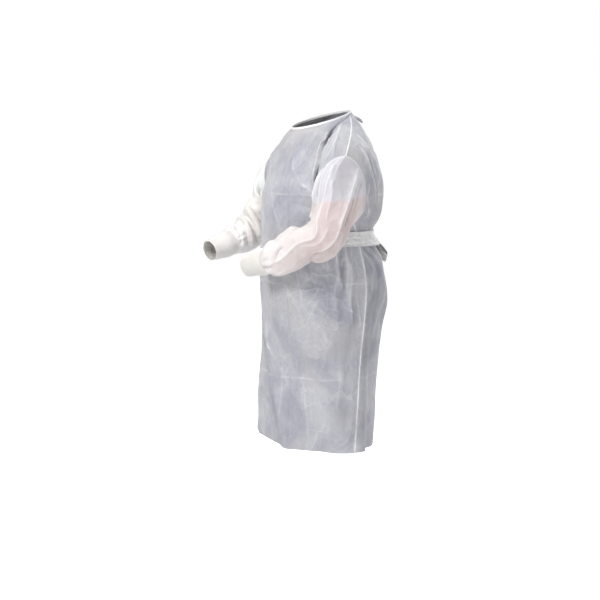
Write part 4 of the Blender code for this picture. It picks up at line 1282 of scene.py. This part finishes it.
def waist_tie(side, seed):
    """A crumpled waist tie, and its outward directions."""
    rows = waist_tie_rows(side)
    along, across = strip_places(rows)
    outs = grid_normals(rows)
    outs *= np.sign(np.sum(outs * rows * (1, 1, 0)))
    lift = strip_lift(along, across, seed, TIE_PLEATS, TIE_CRUMPLED)
    crushed = noise(along / TIE_FACETS[0], across / TIE_FACETS[1], seed + 3)
    small = noise(along / TIE_SMALL_FACETS[0], across / TIE_SMALL_FACETS[1], seed + 6)
    lift += TIE_CRUSH * (0.35 - np.sqrt(crushed**2 + RIDGE_ROUND / 2))
    lift += 0.5 * TIE_CRUSH * (0.30 - np.abs(small))
    lift = np.maximum(lift, TIE_DEEPEST)
    ends = soft_step(np.minimum(along, along.max() - along) / TIE_END_FADE)
    # Painted highlight on the crumple's ridges, and painted shade on the facets between them
    white = 0.4 * bell(crushed, 0.10) - 0.35 * np.clip(np.abs(crushed) - 0.2, 0, 1)
    return rows + outs * (lift * ends + STRIP_PROUD)[..., None], outs, along, across, white


def binding_rows(front, left, right):
    """The folded binding's outer face, rounded over its top edge."""
    quarter = FRONT_STEPS // 4
    in_front = front[-1, quarter : 3 * quarter + 1][::-1]
    behind_left = left[-1, BACK_SHOULDER_STEPS:][::-1]
    behind_right = right[-1, BACK_SHOULDER_STEPS:]
    path = np.vstack([behind_left, in_front[1:-1], behind_right])
    out = unit(path * (1, 1, 0))
    rise = (0.0, 0.0, 1.0) - BINDING_LEAN * out
    rows = [path + rise * (SEAM_GAP + height) + out * proud for height, proud in BINDING_PROFILE]
    return np.array(rows), out


def off_back(z, out, centre_line):
    """Y at a height, for a point that lies out from the centre line of the outer back panel."""
    heights = centre_line[:, 2]
    depths = centre_line[:, 1]
    slope = np.interp(z, heights, np.gradient(depths, heights))
    return np.interp(z, heights, depths) + out * np.sqrt(1 + slope**2)


def knot_place(bow, centre_line):
    """The centre of a knot, and its lean with the cloth behind it."""
    z = bow.knot_z
    above, below = off_back(np.array([z + bow.half_z, z - bow.half_z]), 0.0, centre_line)
    lean = math.atan2(below - above, 2 * bow.half_z)
    out = bow.half_y + bow.clear
    y = float(off_back(z, 0.0, centre_line))
    return (0.0, y + out * math.cos(lean), z + out * math.sin(lean)), lean


def knot_points(bow, centre_line):
    """A knot, a rounded block with turns of the strip wound over it, and how white its crests are:
    painted highlight on the turns, and painted shade between them and where the band meets the block.
    """
    centre, lean = knot_place(bow, centre_line)
    up = np.linspace(-math.pi / 2, math.pi / 2, KNOT_STEPS // 2 + 1)[:, None]
    turn = (2 * math.pi * np.arange(KNOT_STEPS) / KNOT_STEPS)[None, :]
    level = np.cos(up)
    ball = np.stack([level * np.cos(turn), level * np.sin(turn), np.sin(up) + 0 * turn], axis=2)
    block = np.sign(ball) * np.abs(ball) ** KNOT_SQUARE
    side, height = ball[..., 0], ball[..., 2]
    slanted = side + KNOT_SLANT * height
    band = np.exp(-((slanted / KNOT_BAND) ** 6))
    down_band = np.abs(np.sin(KNOT_TURNS * math.pi * slanted / KNOT_BAND + 0.4 * np.sin(3 * height)))
    into_band = np.abs(np.sin(5.5 * height * (1.3 - 0.5 * np.abs(side)) + 0.7))
    turns = (band * down_band + (1 - band) * into_band) ** 0.7
    size = KNOT_BLOCK + KNOT_BAND_SIZE * band + KNOT_TURN_SIZE * turns
    # Painted highlight on the turns, painted shade between them and at the band's edges
    white = 1.3 * turns - 1.0 - 0.5 * band * (1 - band) * 4
    points = block * (bow.half_x, bow.half_y, bow.half_z) * size[..., None]
    cos_lean, sin_lean = math.cos(lean), math.sin(lean)
    y = points[..., 1] * cos_lean - points[..., 2] * sin_lean
    z = points[..., 1] * sin_lean + points[..., 2] * cos_lean
    return np.stack([points[..., 0], y, z], axis=2) + centre, white


def hanging_strip(bow, centre_line, start, side, splay, along, out, share):
    """Rows across a strip that hangs down the back, out over the cloth, and is narrow at the knot."""
    lean = math.radians(splay)
    narrow = ROOT_SHARE + (1 - ROOT_SHARE) * soft_step(share / ROOT_SHARE)
    rows = []
    for half in np.linspace(-0.5, 0.5, STRIP_ROWS):
        off = half * bow.width * narrow
        x = start[0] + side * (math.sin(lean) * along + math.cos(lean) * off)
        z = start[1] - math.cos(lean) * along + math.sin(lean) * off
        rows.append(np.stack([x, off_back(z, out, centre_line), z], axis=1))
    return np.array(rows)


def out_from_root(bow, spare, share):
    """How far a strip's middle stands out: from the knot's middle to close over the cloth."""
    root = bow.clear + bow.half_y
    hanging = bow.clear + WALL + spare
    return root + (hanging - root) * soft_step(share / ROOT_SHARE)


def bow_loop(bow, side, centre_line):
    """One loop: out from the side of the knot, down to its tip and back beneath itself."""
    turn = np.linspace(0.0, 2 * math.pi, LOOP_STEPS)
    share = (1 - np.cos(turn)) / 2
    out = out_from_root(bow, bow.open, share) + bow.open * np.sin(turn) * share
    out += ROOT_GAP * np.cos(turn / 2)
    root_half = ROOT_SHARE * bow.width / 2
    beside = bow.half_x + SEAM_GAP + root_half * math.cos(math.radians(bow.loop_splay))
    start = (side * beside, knot_place(bow, centre_line)[0][2])
    return hanging_strip(bow, centre_line, start, side, bow.loop_splay, share * bow.loop, out, share)


def bow_tail(bow, side, centre_line):
    """One free end, hanging down the back from the bottom of the knot with a little sway."""
    share = np.linspace(0.0, 1.0, TAIL_STEPS)
    out = out_from_root(bow, TAIL_CLEAR, share)
    root_half = ROOT_SHARE * bow.width / 2
    centre, lean = knot_place(bow, centre_line)
    below = (bow.half_z + SEAM_GAP) * math.cos(lean)
    below += root_half * math.sin(math.radians(bow.tail_splay))
    start = (side * root_half * TAIL_APART, centre[2] - below)
    rows = hanging_strip(bow, centre_line, start, side, bow.tail_splay, share * bow.tail, out, share)
    rows[..., 0] += side * SWAY * bow.width * np.sin(2 * math.pi * share + side) * share
    rows[..., 1] += STRIP_WAVE * np.sin(3 * math.pi * share) ** 2
    return rows


def soft_strip(rows, seed, pleats, proud):
    """A strip whose pleats spread from the knot, its flat places, and how white each crest is: painted
    highlight on raised pleats, and painted shade in the hollows between them.
    """
    along, across = strip_places(rows)
    outs = grid_normals(rows)
    from_end = along.max() - along
    ends = soft_step(np.minimum(along, from_end) / BOW_END_FADE)
    knotted = bell(along, KNOT_PINCH) + bell(from_end, KNOT_PINCH)
    lift = strip_lift(along, across, seed, pleats) * (BOW_PLEATS + KNOTTED_PLEATS * knotted)
    lift += STRIP_CRUMPLE * noise(along / BOW_FACETS, across / BOW_FACETS, seed + 8)
    # Painted highlight where a pleat stands up, painted shade where it sinks
    white = 0.5 * lift / PLEAT_HEIGHT - 0.25
    return rows + outs * (lift * ends * proud)[..., None], along, across, white


# Materials

CLOUD_SCALE = 7.5
WEB_SCALE = 240.0
WARM_SCALE = 4.2
PATCHY_SCALE = 18.0
BOND_SCALE = 520.0
FUZZ_SCALE = 1500.0
# Ranges of noise that show, and how strongly
CLOUD_RANGE = (0.38, 0.62)
WARM_RANGE = (0.47, 0.66, 0.0, 0.8)
STREAK_RANGE = (0.50, 0.75, 0.0, 0.35)
WEB_RANGE = (0.3, 0.7, 0.0, 0.14)
FIBRE_RANGE = (0.5, 0.85, 0.0, 0.16)
BOND_SHARE = (0.16, 0.30)
CREST_SHARE = 0.75
# Height in metres and strength of each fine relief
FIBRE_BUMP = (0.00016, 0.5)
BOND_BUMP = (0.00022, 0.6)
LOOP_BUMP = (0.00035, 0.7)
GROOVE_BUMP = (0.0003, 0.5)
FUZZ_BUMP = (0.0002, 0.5)
# Scale along each axis of the streaks, and of the two ways that fibres run
STREAKS = (46.0, 46.0, 9.0)
FIBRES = (((2600.0, 170.0, 1.0), 8.0), ((210.0, 2300.0, 1.0), -24.0))
# Cells a metre, line width in cells, height in metres and whiteness of two sizes of crinkles
CRINKLES = ((21.0, 0.030, 0.0022, 0.20), (52.0, 0.045, 0.0011, 0.14))
# White of crests: partly the cloth's own whitening, partly painted highlight
CREST_COLOUR = (0.90, 0.90, 0.91)
# White of a sleeve's end: the cloth clear of the arm, brightened with painted light coming through
SLEEVE_END = (0.92, 0.89, 0.875)
# Heights between which the upper sleeve changes colour, and how uneven that line is
UPPER_SLEEVE_Z = (-0.216, -0.202)
UPPER_UNEVEN = 0.05
LOOP_PITCH = 0.0016
FLOOR_GLOW = 0.72
FLOOR_PALE = (0.93, 0.93, 0.93)
FLOOR_DEEP = (0.91, 0.91, 0.91)
WHITE_LIGHT = (1.0, 1.0, 1.0, 1.0)


def feed(tree, socket, value):
    """Links another socket to a socket, or gives it a plain value or a colour."""
    if isinstance(value, bpy.types.NodeSocket):
        tree.links.new(value, socket)
    elif socket.type == "RGBA" and len(value) == 3:
        socket.default_value = (*value, 1.0)
    else:
        socket.default_value = value


def set_inputs(tree, node, **values):
    """Gives a node its inputs by name, with _ for each space."""
    for name, value in values.items():
        feed(tree, node.inputs[name.replace("_", " ")], value)


def add(tree, kind, settings=None, **values):
    """A node with its settings and input values."""
    node = tree.nodes.new(kind)
    for name, value in (settings or {}).items():
        setattr(node, name, value)
    set_inputs(tree, node, **values)
    return node


def blend(tree, factor, low, high):
    """A colour between low and high. Each may be a colour or a socket."""
    node = add(tree, "ShaderNodeMix", {"data_type": "RGBA"})
    for number, value in ((0, factor), (6, low), (7, high)):
        feed(tree, node.inputs[number], value)
    return node.outputs[2]


def mapped(tree, value, low, high, to_low=0.0, to_high=1.0):
    """A value moved from one range to another, and held inside it."""
    ranges = {"From_Min": low, "From_Max": high, "To_Min": to_low, "To_Max": to_high}
    return add(tree, "ShaderNodeMapRange", Value=value, **ranges).outputs["Result"]


def maths(tree, operation, first, second=0.0):
    """One operation on two values or sockets."""
    node = add(tree, "ShaderNodeMath", {"operation": operation})
    feed(tree, node.inputs[0], first)
    feed(tree, node.inputs[1], second)
    return node.outputs[0]


def noise_value(tree, vector, scale, detail=2.0, rough=0.5, twist=0.0):
    """Soft noise around 0.5."""
    node = add(tree, "ShaderNodeTexNoise", Vector=vector, Scale=scale, Detail=detail, Roughness=rough,
               Distortion=twist)
    return node.outputs["Fac"]


def stretched(tree, vector, scale, turn):
    """Places scaled along each axis, after a turn in degrees about Z."""
    turned = (0.0, 0.0, math.radians(turn))
    return add(tree, "ShaderNodeMapping", Vector=vector, Scale=scale, Rotation=turned).outputs["Vector"]


def attribute(tree, name):
    """A value that the mesh holds for each point."""
    return add(tree, "ShaderNodeAttribute", {"attribute_name": name}).outputs["Fac"]


def part_of(tree, vector, axis):
    """One coordinate of a place."""
    return add(tree, "ShaderNodeSeparateXYZ", Vector=vector).outputs[axis]


def bumped(tree, height, distance, strength, below=None):
    """Normals tilted by a height, on top of the normals below."""
    values = {"Normal": below} if below else {}
    return add(tree, "ShaderNodeBump", Height=height, Distance=distance, Strength=strength,
               **values).outputs["Normal"]


def tinted(colour, share):
    """A colour made lighter or deeper."""
    return tuple(share * part for part in colour)


def start_material(name):
    """A new material, its tree and shader, and a point's place in space and on the flat cloth."""
    material = bpy.data.materials.new(name)
    material.use_nodes = True
    tree = material.node_tree
    places = tree.nodes.new("ShaderNodeTexCoord").outputs
    return material, tree, tree.nodes["Principled BSDF"], places["Object"], places["UV"]


def cloth_tints(tree, place, flat, colour, shaded, upper, ending):
    """Tints of a sleeve: deeper behind its first crease, whiter to the cuff with painted light, cooler
    at the shoulder.
    """
    if shaded:
        patchy = mapped(tree, noise_value(tree, place, PATCHY_SCALE), 0.3, 0.7, 0.65, 1.0)
        colour = blend(tree, maths(tree, "MULTIPLY", attribute(tree, SHADE), patchy), colour, shaded)
    # Whiter towards the cuff, where the cloth hangs clear of the arm: painted light coming through it
    if ending:
        near_cuff = mapped(tree, part_of(tree, flat, "Y"), *ending, 0.0, 0.75)
        colour = blend(tree, near_cuff, colour, SLEEVE_END)
    if upper:
        shift = maths(tree, "MULTIPLY", noise_value(tree, place, 16.0), UPPER_UNEVEN)
        above = mapped(tree, maths(tree, "ADD", part_of(tree, place, "Z"), shift), *UPPER_SLEEVE_Z)
        colour = blend(tree, maths(tree, "MULTIPLY", above, 0.9), colour, upper)
    return colour


def crinkles(tree, place, colour, wrinkle):
    """Small straight wrinkles between cells, as white lines in a colour and as ridges. The white lines
    are partly the cloth's own whitening and partly painted highlight.
    """
    normal = None
    for scale, width, depth, whiteness in CRINKLES:
        bent = add(tree, "ShaderNodeTexNoise", Vector=place, Scale=0.8 * scale, Detail=1.0)
        moved = add(tree, "ShaderNodeVectorMath", {"operation": "MULTIPLY_ADD"})
        shift = 0.35 / scale
        long_way = stretched(tree, place, (1.0, 1.0, 0.72), 0.0)
        for socket, value in zip(moved.inputs, (bent.outputs["Color"], (shift, shift, shift), long_way)):
            feed(tree, socket, value)
        edges = {"feature": "DISTANCE_TO_EDGE"}
        cells = add(tree, "ShaderNodeTexVoronoi", edges, Vector=moved.outputs[0], Scale=scale)
        cells = cells.outputs["Distance"]
        patches = mapped(tree, noise_value(tree, place, 0.35 * scale, 1.5), 0.47, 0.62)
        line = maths(tree, "MULTIPLY", mapped(tree, cells, 0.0, width, 1.0, 0.0), patches)
        # White lines on the wrinkles: partly the cloth's own whitening, partly painted highlight
        colour = blend(tree, maths(tree, "MULTIPLY", line, whiteness), colour, CREST_COLOUR)
        patchiness = mapped(tree, patches, 0.0, 1.0, 0.3, 1.0)
        ridge = maths(tree, "MULTIPLY", mapped(tree, cells, 0.0, 0.26, 1.0, 0.0), patchiness)
        normal = bumped(tree, ridge, depth * wrinkle, 0.7, normal)
    return colour, normal


def non_woven(name, pale, deep, warm, shaded=None, upper=None, ending=None, wrinkle=1.0):
    """Bonded fibre cloth: cloudy whites, fine fibres, a grid of bond points, crests and small wrinkles,
    with painted highlight on crests and painted shade in troughs. ending is where a sleeve turns whiter
    towards its cuff, partly painted light, in metres down it."""
    material, tree, shader, place, flat = start_material(name)
    clouds = mapped(tree, noise_value(tree, place, CLOUD_SCALE, 4.0, 0.55, 0.5), *CLOUD_RANGE)
    colour = blend(tree, clouds, deep, pale)
    warmth = mapped(tree, noise_value(tree, place, WARM_SCALE, 2.0, 0.5, 0.3), *WARM_RANGE)
    colour = cloth_tints(tree, place, flat, blend(tree, warmth, colour, warm), shaded, upper, ending)
    streaks = noise_value(tree, stretched(tree, place, STREAKS, 0.0), 1.0, 3.0, 0.6)
    web = noise_value(tree, place, WEB_SCALE, 3.0, 0.6)
    both_ways = [noise_value(tree, stretched(tree, flat, *way), 1.0) for way in FIBRES]
    fibres = maths(tree, "MAXIMUM", *both_ways)
    creased = attribute(tree, WHITENESS_AND_PAINTED_LIGHT)
    for factor, tint in (
        (mapped(tree, streaks, *STREAK_RANGE), tinted(pale, 1.10)),
        (mapped(tree, web, *WEB_RANGE), tinted(deep, 0.80)),
        (mapped(tree, fibres, *FIBRE_RANGE), tinted(pale, 1.10)),
        # Whiter crests, partly the cloth's own whitening and partly painted highlight; painted shade in
        # troughs and in the darker painted patches
        (mapped(tree, creased, 0.0, 1.0, 0.0, CREST_SHARE), CREST_COLOUR),
        (mapped(tree, creased, 0.0, -1.0, 0.0, CREST_SHARE), tinted(deep, 0.50)),
    ):
        colour = blend(tree, factor, colour, tint)
    colour, normal = crinkles(tree, place, colour, wrinkle)
    normal = bumped(tree, fibres, *FIBRE_BUMP, normal)
    grid = stretched(tree, flat, (BOND_SCALE, BOND_SCALE, BOND_SCALE), 45.0)
    cells = add(tree, "ShaderNodeTexVoronoi", Vector=grid, Scale=1.0, Randomness=0.06)
    dots = mapped(tree, cells.outputs["Distance"], *BOND_SHARE, 1.0, 0.0)
    colour = blend(tree, maths(tree, "MULTIPLY", dots, 0.22), colour, tinted(deep, 0.84))
    normal = bumped(tree, maths(tree, "SUBTRACT", 1.0, dots), *BOND_BUMP, normal)
    set_inputs(tree, shader, Base_Color=colour, Normal=normal, Sheen_Weight=0.10, Sheen_Roughness=0.5,
               Roughness=mapped(tree, dots, 0.0, 1.0, 0.80, 0.56), Specular_IOR_Level=0.30)
    return material


def rib_knit(name, pale, deep):
    """Rib knit: loops in chevrons on each rib, with painted shade between loops and between ribs."""
    material, tree, shader, place, flat = start_material(name)
    rib = 2 * math.pi * CUFF_FLAT_RADIUS / CUFF_RIBS
    side = maths(tree, "PINGPONG", part_of(tree, flat, "X"), rib / 2)
    slanted = maths(tree, "ADD", part_of(tree, flat, "Y"), maths(tree, "MULTIPLY", side, 0.9))
    loops = maths(tree, "SINE", maths(tree, "MULTIPLY", slanted, 2 * math.pi / LOOP_PITCH))
    groove = mapped(tree, side, rib * 0.30, rib * 0.5)
    clouds = mapped(tree, noise_value(tree, place, 30.0, 3.0), 0.35, 0.65)
    colour = blend(tree, clouds, tinted(pale, 0.95), pale)
    # Painted shade between the rows of loops, and in the grooves between ribs
    colour = blend(tree, mapped(tree, loops, -1.0, 0.4, 0.35, 0.0), colour, deep)
    colour = blend(tree, maths(tree, "MULTIPLY", groove, 0.55), colour, deep)
    normal = bumped(tree, loops, *LOOP_BUMP)
    normal = bumped(tree, maths(tree, "SUBTRACT", 1.0, groove), *GROOVE_BUMP, normal)
    normal = bumped(tree, noise_value(tree, place, FUZZ_SCALE), *FUZZ_BUMP, normal)
    set_inputs(tree, shader, Base_Color=colour, Normal=normal, Roughness=0.9, Sheen_Weight=0.25,
               Sheen_Roughness=0.45, Specular_IOR_Level=0.2)
    return material


def sewing_thread(name, pale):
    """Twisted polyester thread."""
    material, tree, shader, place, _ = start_material(name)
    twist = noise_value(tree, stretched(tree, place, (900.0, 900.0, 2600.0), 20.0), 1.0)
    colour = blend(tree, mapped(tree, twist, 0.35, 0.65), tinted(pale, 0.86), pale)
    set_inputs(tree, shader, Base_Color=colour, Normal=bumped(tree, twist, 0.00012, 0.6), Roughness=0.5)
    return material


def camera_glow(tree, unseen, seen):
    """One strength for what the camera sees, and another for the light that a thing gives."""
    camera_ray = add(tree, "ShaderNodeLightPath").outputs["Is Camera Ray"]
    return mapped(tree, camera_ray, 0.0, 1.0, unseen, seen)


def floor_finish(name):
    """Pale studio floor, brightened where the camera sees it."""
    material, tree, shader, place, _ = start_material(name)
    spots = mapped(tree, noise_value(tree, place, 3.0, 3.0), 0.3, 0.7)
    set_inputs(tree, shader, Base_Color=blend(tree, spots, FLOOR_DEEP, FLOOR_PALE), Roughness=0.7,
               Emission_Color=WHITE_LIGHT, Emission_Strength=camera_glow(tree, 0.0, FLOOR_GLOW))
    return material


# Pale, deep and warm whites of each cloth
body_cloth = non_woven("body_cloth", (0.56, 0.565, 0.60), (0.365, 0.37, 0.435), (0.53, 0.51, 0.505))
left_cloth = non_woven(
    "left_sleeve_cloth", (0.77, 0.715, 0.71), (0.68, 0.61, 0.605), (0.74, 0.69, 0.675),
    shaded=(0.63, 0.515, 0.51), upper=(0.62, 0.625, 0.69), ending=(0.22, 0.36),
)
right_cloth = non_woven(
    "right_sleeve_cloth", (0.92, 0.90, 0.87), (0.84, 0.81, 0.78), (0.88, 0.79, 0.76),
    shaded=(0.86, 0.76, 0.74), upper=(0.80, 0.82, 0.82), ending=(0.24, 0.30),
)
strip_cloth, binding_cloth, seam_cloth, bow_cloth = (
    non_woven(name, pale, deep, warm, wrinkle=wrinkle)
    for name, pale, deep, warm, wrinkle in (
        ("strip_cloth", (0.84, 0.835, 0.835), (0.66, 0.655, 0.67), (0.80, 0.77, 0.76), 0.6),
        ("binding_cloth", (0.95, 0.95, 0.95), (0.88, 0.88, 0.90), (0.94, 0.92, 0.90), 0.4),
        ("seam_cloth", (0.86, 0.86, 0.88), (0.70, 0.70, 0.74), (0.80, 0.79, 0.78), 0.3),
        ("bow_cloth", (0.82, 0.82, 0.815), (0.68, 0.68, 0.69), (0.78, 0.765, 0.75), 0.6),
    )
)
knit_cloth = rib_knit("rib_knit", (1.0, 0.985, 0.955), (0.88, 0.85, 0.79))
thread = sewing_thread("sewing_thread", (0.88, 0.88, 0.88))

# The gown, piece by piece

front = front_piece()
front_cloth = surface("front_cloth", front.points, front.x, front.y, white=front.white)
dress(front_cloth, body_cloth, "body_cloth", "front_panel")
backs = {side: back_piece(side) for side, _ in SIDES}
for side, word in SIDES:
    back = backs[side]
    piece = surface("back_cloth_" + word, back.points, back.x, back.y, white=back.white)
    dress(piece, body_cloth, "body_cloth", "back_panel_" + word)

sleeve_facts = {
    1: (LEFT_SLEEVE, LEFT_SLEEVE_FOLDS, LEFT_SLEEVE_CREASES, 31, left_cloth),
    -1: (RIGHT_SLEEVE, RIGHT_SLEEVE_FOLDS, RIGHT_SLEEVE_CREASES, 35, right_cloth),
}
armholes = {}
for side, word in SIDES:
    table, folds, creases, seed, cloth = sleeve_facts[side]
    edge = armhole(side, front.points, backs[side].points)
    armholes[side] = edge
    sleeve = sleeve_piece(side, edge, table, folds, creases, seed)
    piece = surface(
        "sleeve_cloth_" + word, sleeve.rings, sleeve.x, sleeve.down,
        closed=True, white=sleeve.white, shade=sleeve.shade,
    )
    dress(piece, cloth, "sleeve_cloth", "sleeve_" + word)
    knitted, x, y = cuff_rings(side, sleeve.rings[-1], sleeve.crease, sleeve.way)
    cuff = thickened(surface("cuff_knit_" + word, knitted, x, y, closed=True), CUFF_WALL)
    dress(cuff, knit_cloth, "knit", "cuff_" + word)
    seam = np.vstack([sleeve.rings[-1], sleeve.rings[-1][:1]])
    seam_outs = np.vstack([sleeve.outs[-1], sleeve.outs[-1][:1]])
    dress(welt("cuff_seam_" + word, seam, seam_outs, *CUFF_WELT, 50 + side, 0.0), cloth, "sleeve_cloth")
    stitches("cuff_stitches_" + word, seam, seam_outs, -side * CUFF_STITCH_ASIDE, CUFF_STITCH_LIFT)

# Seams along the sides, armholes and shoulders: name, path, outward directions and whiteness

for side, word in SIDES:
    last = SEAM_COLUMN[side]
    back = backs[side]
    skirt = slice(0, SKIRT_STEPS + 1)
    side_path = (front.points[skirt, last] + back.points[skirt, 0]) / 2
    side_outs = front.outs[skirt, last] + back.outs[skirt, 0]
    edge = np.vstack([armholes[side], armholes[side][:1]])
    yoke_outs = np.vstack([front.outs[SKIRT_STEPS:, last][::-1], back.outs[SKIRT_STEPS + 1 :, 0]])
    quarter = FRONT_STEPS // 4
    top_places = slice(3 * quarter, None) if side > 0 else slice(quarter, None, -1)
    shoulder = front.points[-1, top_places]
    seams = (
        ("side", side_path, side_outs, -0.15),
        ("armhole", edge, yoke_outs + (side * ARMHOLE_LEAN, 0.0, 0.0), 0.25),
        ("shoulder", shoulder, front.outs[-2, top_places] + (0.0, 0.0, SHOULDER_LEAN), 0.30),
    )
    for number, (seam_name, path, outs, white) in enumerate(seams):
        ridge = welt(seam_name + "_seam_" + word, path, outs, *SEAM_WELT, 60 + number + side, white)
        dress(ridge, seam_cloth, "body_cloth")
        stitches(seam_name + "_stitches_" + word, path, outs, SEAM_STITCH_ASIDE, SEAM_STITCH_LIFT)

# Ties, binding and bows

for side, word in SIDES:
    rows, tie_outs, along, across, white = waist_tie(side, 73 - 2 * side)
    tie = thickened(surface("waist_tie_cloth_" + word, rows, along, across, white=white), STRIP_WALL)
    dress(tie, strip_cloth, "strip_cloth", "waist_tie_" + word)
    for number, place in enumerate(TIE_SEWN_COLUMNS):
        stitch_name = f"tie_stitches_{word}_{number}"
        stitches(stitch_name, rows[:, place], tie_outs[:, place], 0.0, TIE_STITCH_LIFT)

rows, binding_outs = binding_rows(front.points, backs[1].points, backs[-1].points)
binding = surface("neck_binding_cloth", rows, *strip_places(rows))
dress(binding, binding_cloth, "strip_cloth", "neck_binding")
sewn_path = rows[2] + (0.0, 0.0, BINDING_STITCH_UP)
stitches(
    "binding_stitches", sewn_path, binding_outs, 0.0, BINDING_STITCH_LIFT, BINDING_STITCH_PITCH
)

centre_line = backs[1].points[:, CENTRE_COLUMN]
for name, proud, pleats in (("waist", 1.0, 2.0), ("neck", 0.4, 1.0)):
    bow = BOWS[name]
    knot_grid, knot_white = knot_points(bow, centre_line)
    round_knot = np.arange(KNOT_STEPS) * bow.half_x * 2 * math.pi / KNOT_STEPS
    knot_x = np.tile(round_knot, (len(knot_grid), 1))
    knot_y = knot_grid[..., 2]
    knot = surface(name + "_knot_cloth", knot_grid, knot_x, knot_y, closed=True, white=knot_white)
    dress(knot, bow_cloth, "strip_cloth", name + "_knot")
    for side, word in SIDES:
        for part, maker, seed in (("loop", bow_loop, 81), ("tail", bow_tail, 86)):
            form = maker(bow, side, centre_line)[:, ::-side]
            rows, along, across, white = soft_strip(form, seed + side, pleats, proud)
            strip = surface(f"{name}_{part}_cloth_{word}", rows, along, across, white=white)
            dress(thickened(strip, STRIP_WALL), bow_cloth, "strip_cloth", f"{name}_{part}_{word}")

# Floor, light and camera

FRAME_PIXELS = 600
FOCAL_PIXELS = 1461
SENSOR = 36.0
CAMERA_AZIMUTH = 65.0
CAMERA_RISE = 7.0
CAMERA_DISTANCE = 4.53
CAMERA_AIM = (-0.027, -0.0575, -0.560)
FLOOR_Z = -1.45
FLOOR_RADIUS = 9.0
AMBIENT = 0.37
# Name, metres right of, above and towards the camera from its aim, size, power and tint
LIGHTS = (
    ("key", -2.2, 2.0, 2.1, 0.7, 56.0, (1.0, 0.995, 0.985)),
    ("fill", 0.9, 0.5, 3.2, 2.2, 18.0, (1.0, 0.995, 0.99)),
    ("top", -0.5, 3.6, 1.2, 2.2, 66.0, (1.0, 1.0, 1.0)),
    ("back", 2.3, 1.5, -2.3, 1.6, 66.0, (1.0, 1.0, 1.0)),
)

bpy.ops.mesh.primitive_circle_add(
    vertices=96, radius=FLOOR_RADIUS, fill_type="NGON", location=(0, 0, FLOOR_Z)
)
floor = bpy.context.object
floor.name = "studio_floor"
floor.data.materials.append(floor_finish("studio_floor"))

camera_turn = math.radians(CAMERA_AZIMUTH)
camera_rise = math.radians(CAMERA_RISE)
to_right = Vector((math.cos(camera_turn), math.sin(camera_turn), 0.0))
level = Vector((math.sin(camera_turn), -math.cos(camera_turn), 0.0))
up = Vector((0.0, 0.0, 1.0))
aim = Vector(CAMERA_AIM)


def place_aimed(name, data, place):
    """Puts a camera or light into the scene, turned to the aim."""
    thing = bpy.data.objects.new(name, data)
    bpy.context.scene.collection.objects.link(thing)
    thing.location = place
    thing.rotation_euler = (aim - place).to_track_quat("-Z", "Y").to_euler()
    return thing


for name, right, above, towards, size, power, tint in LIGHTS:
    light = bpy.data.lights.new(name, "AREA")
    light.shape = "SQUARE"
    light.size = size
    light.energy = power
    light.color = tint
    place_aimed(name, light, aim + to_right * right + up * above + level * towards)

world = bpy.data.worlds.new("studio_world")
bpy.context.scene.world = world
world.use_nodes = True
world_tree = world.node_tree
set_inputs(world_tree, world_tree.nodes["Background"], Color=WHITE_LIGHT,
           Strength=camera_glow(world_tree, AMBIENT, 1.0))

camera_data = bpy.data.cameras.new("camera")
camera_data.sensor_width = SENSOR
camera_data.lens = FOCAL_PIXELS * SENSOR / FRAME_PIXELS
towards_camera = level * math.cos(camera_rise) + up * math.sin(camera_rise)
bpy.context.scene.camera = place_aimed("camera", camera_data, aim + towards_camera * CAMERA_DISTANCE)
bpy.context.scene.view_settings.view_transform = "Standard"
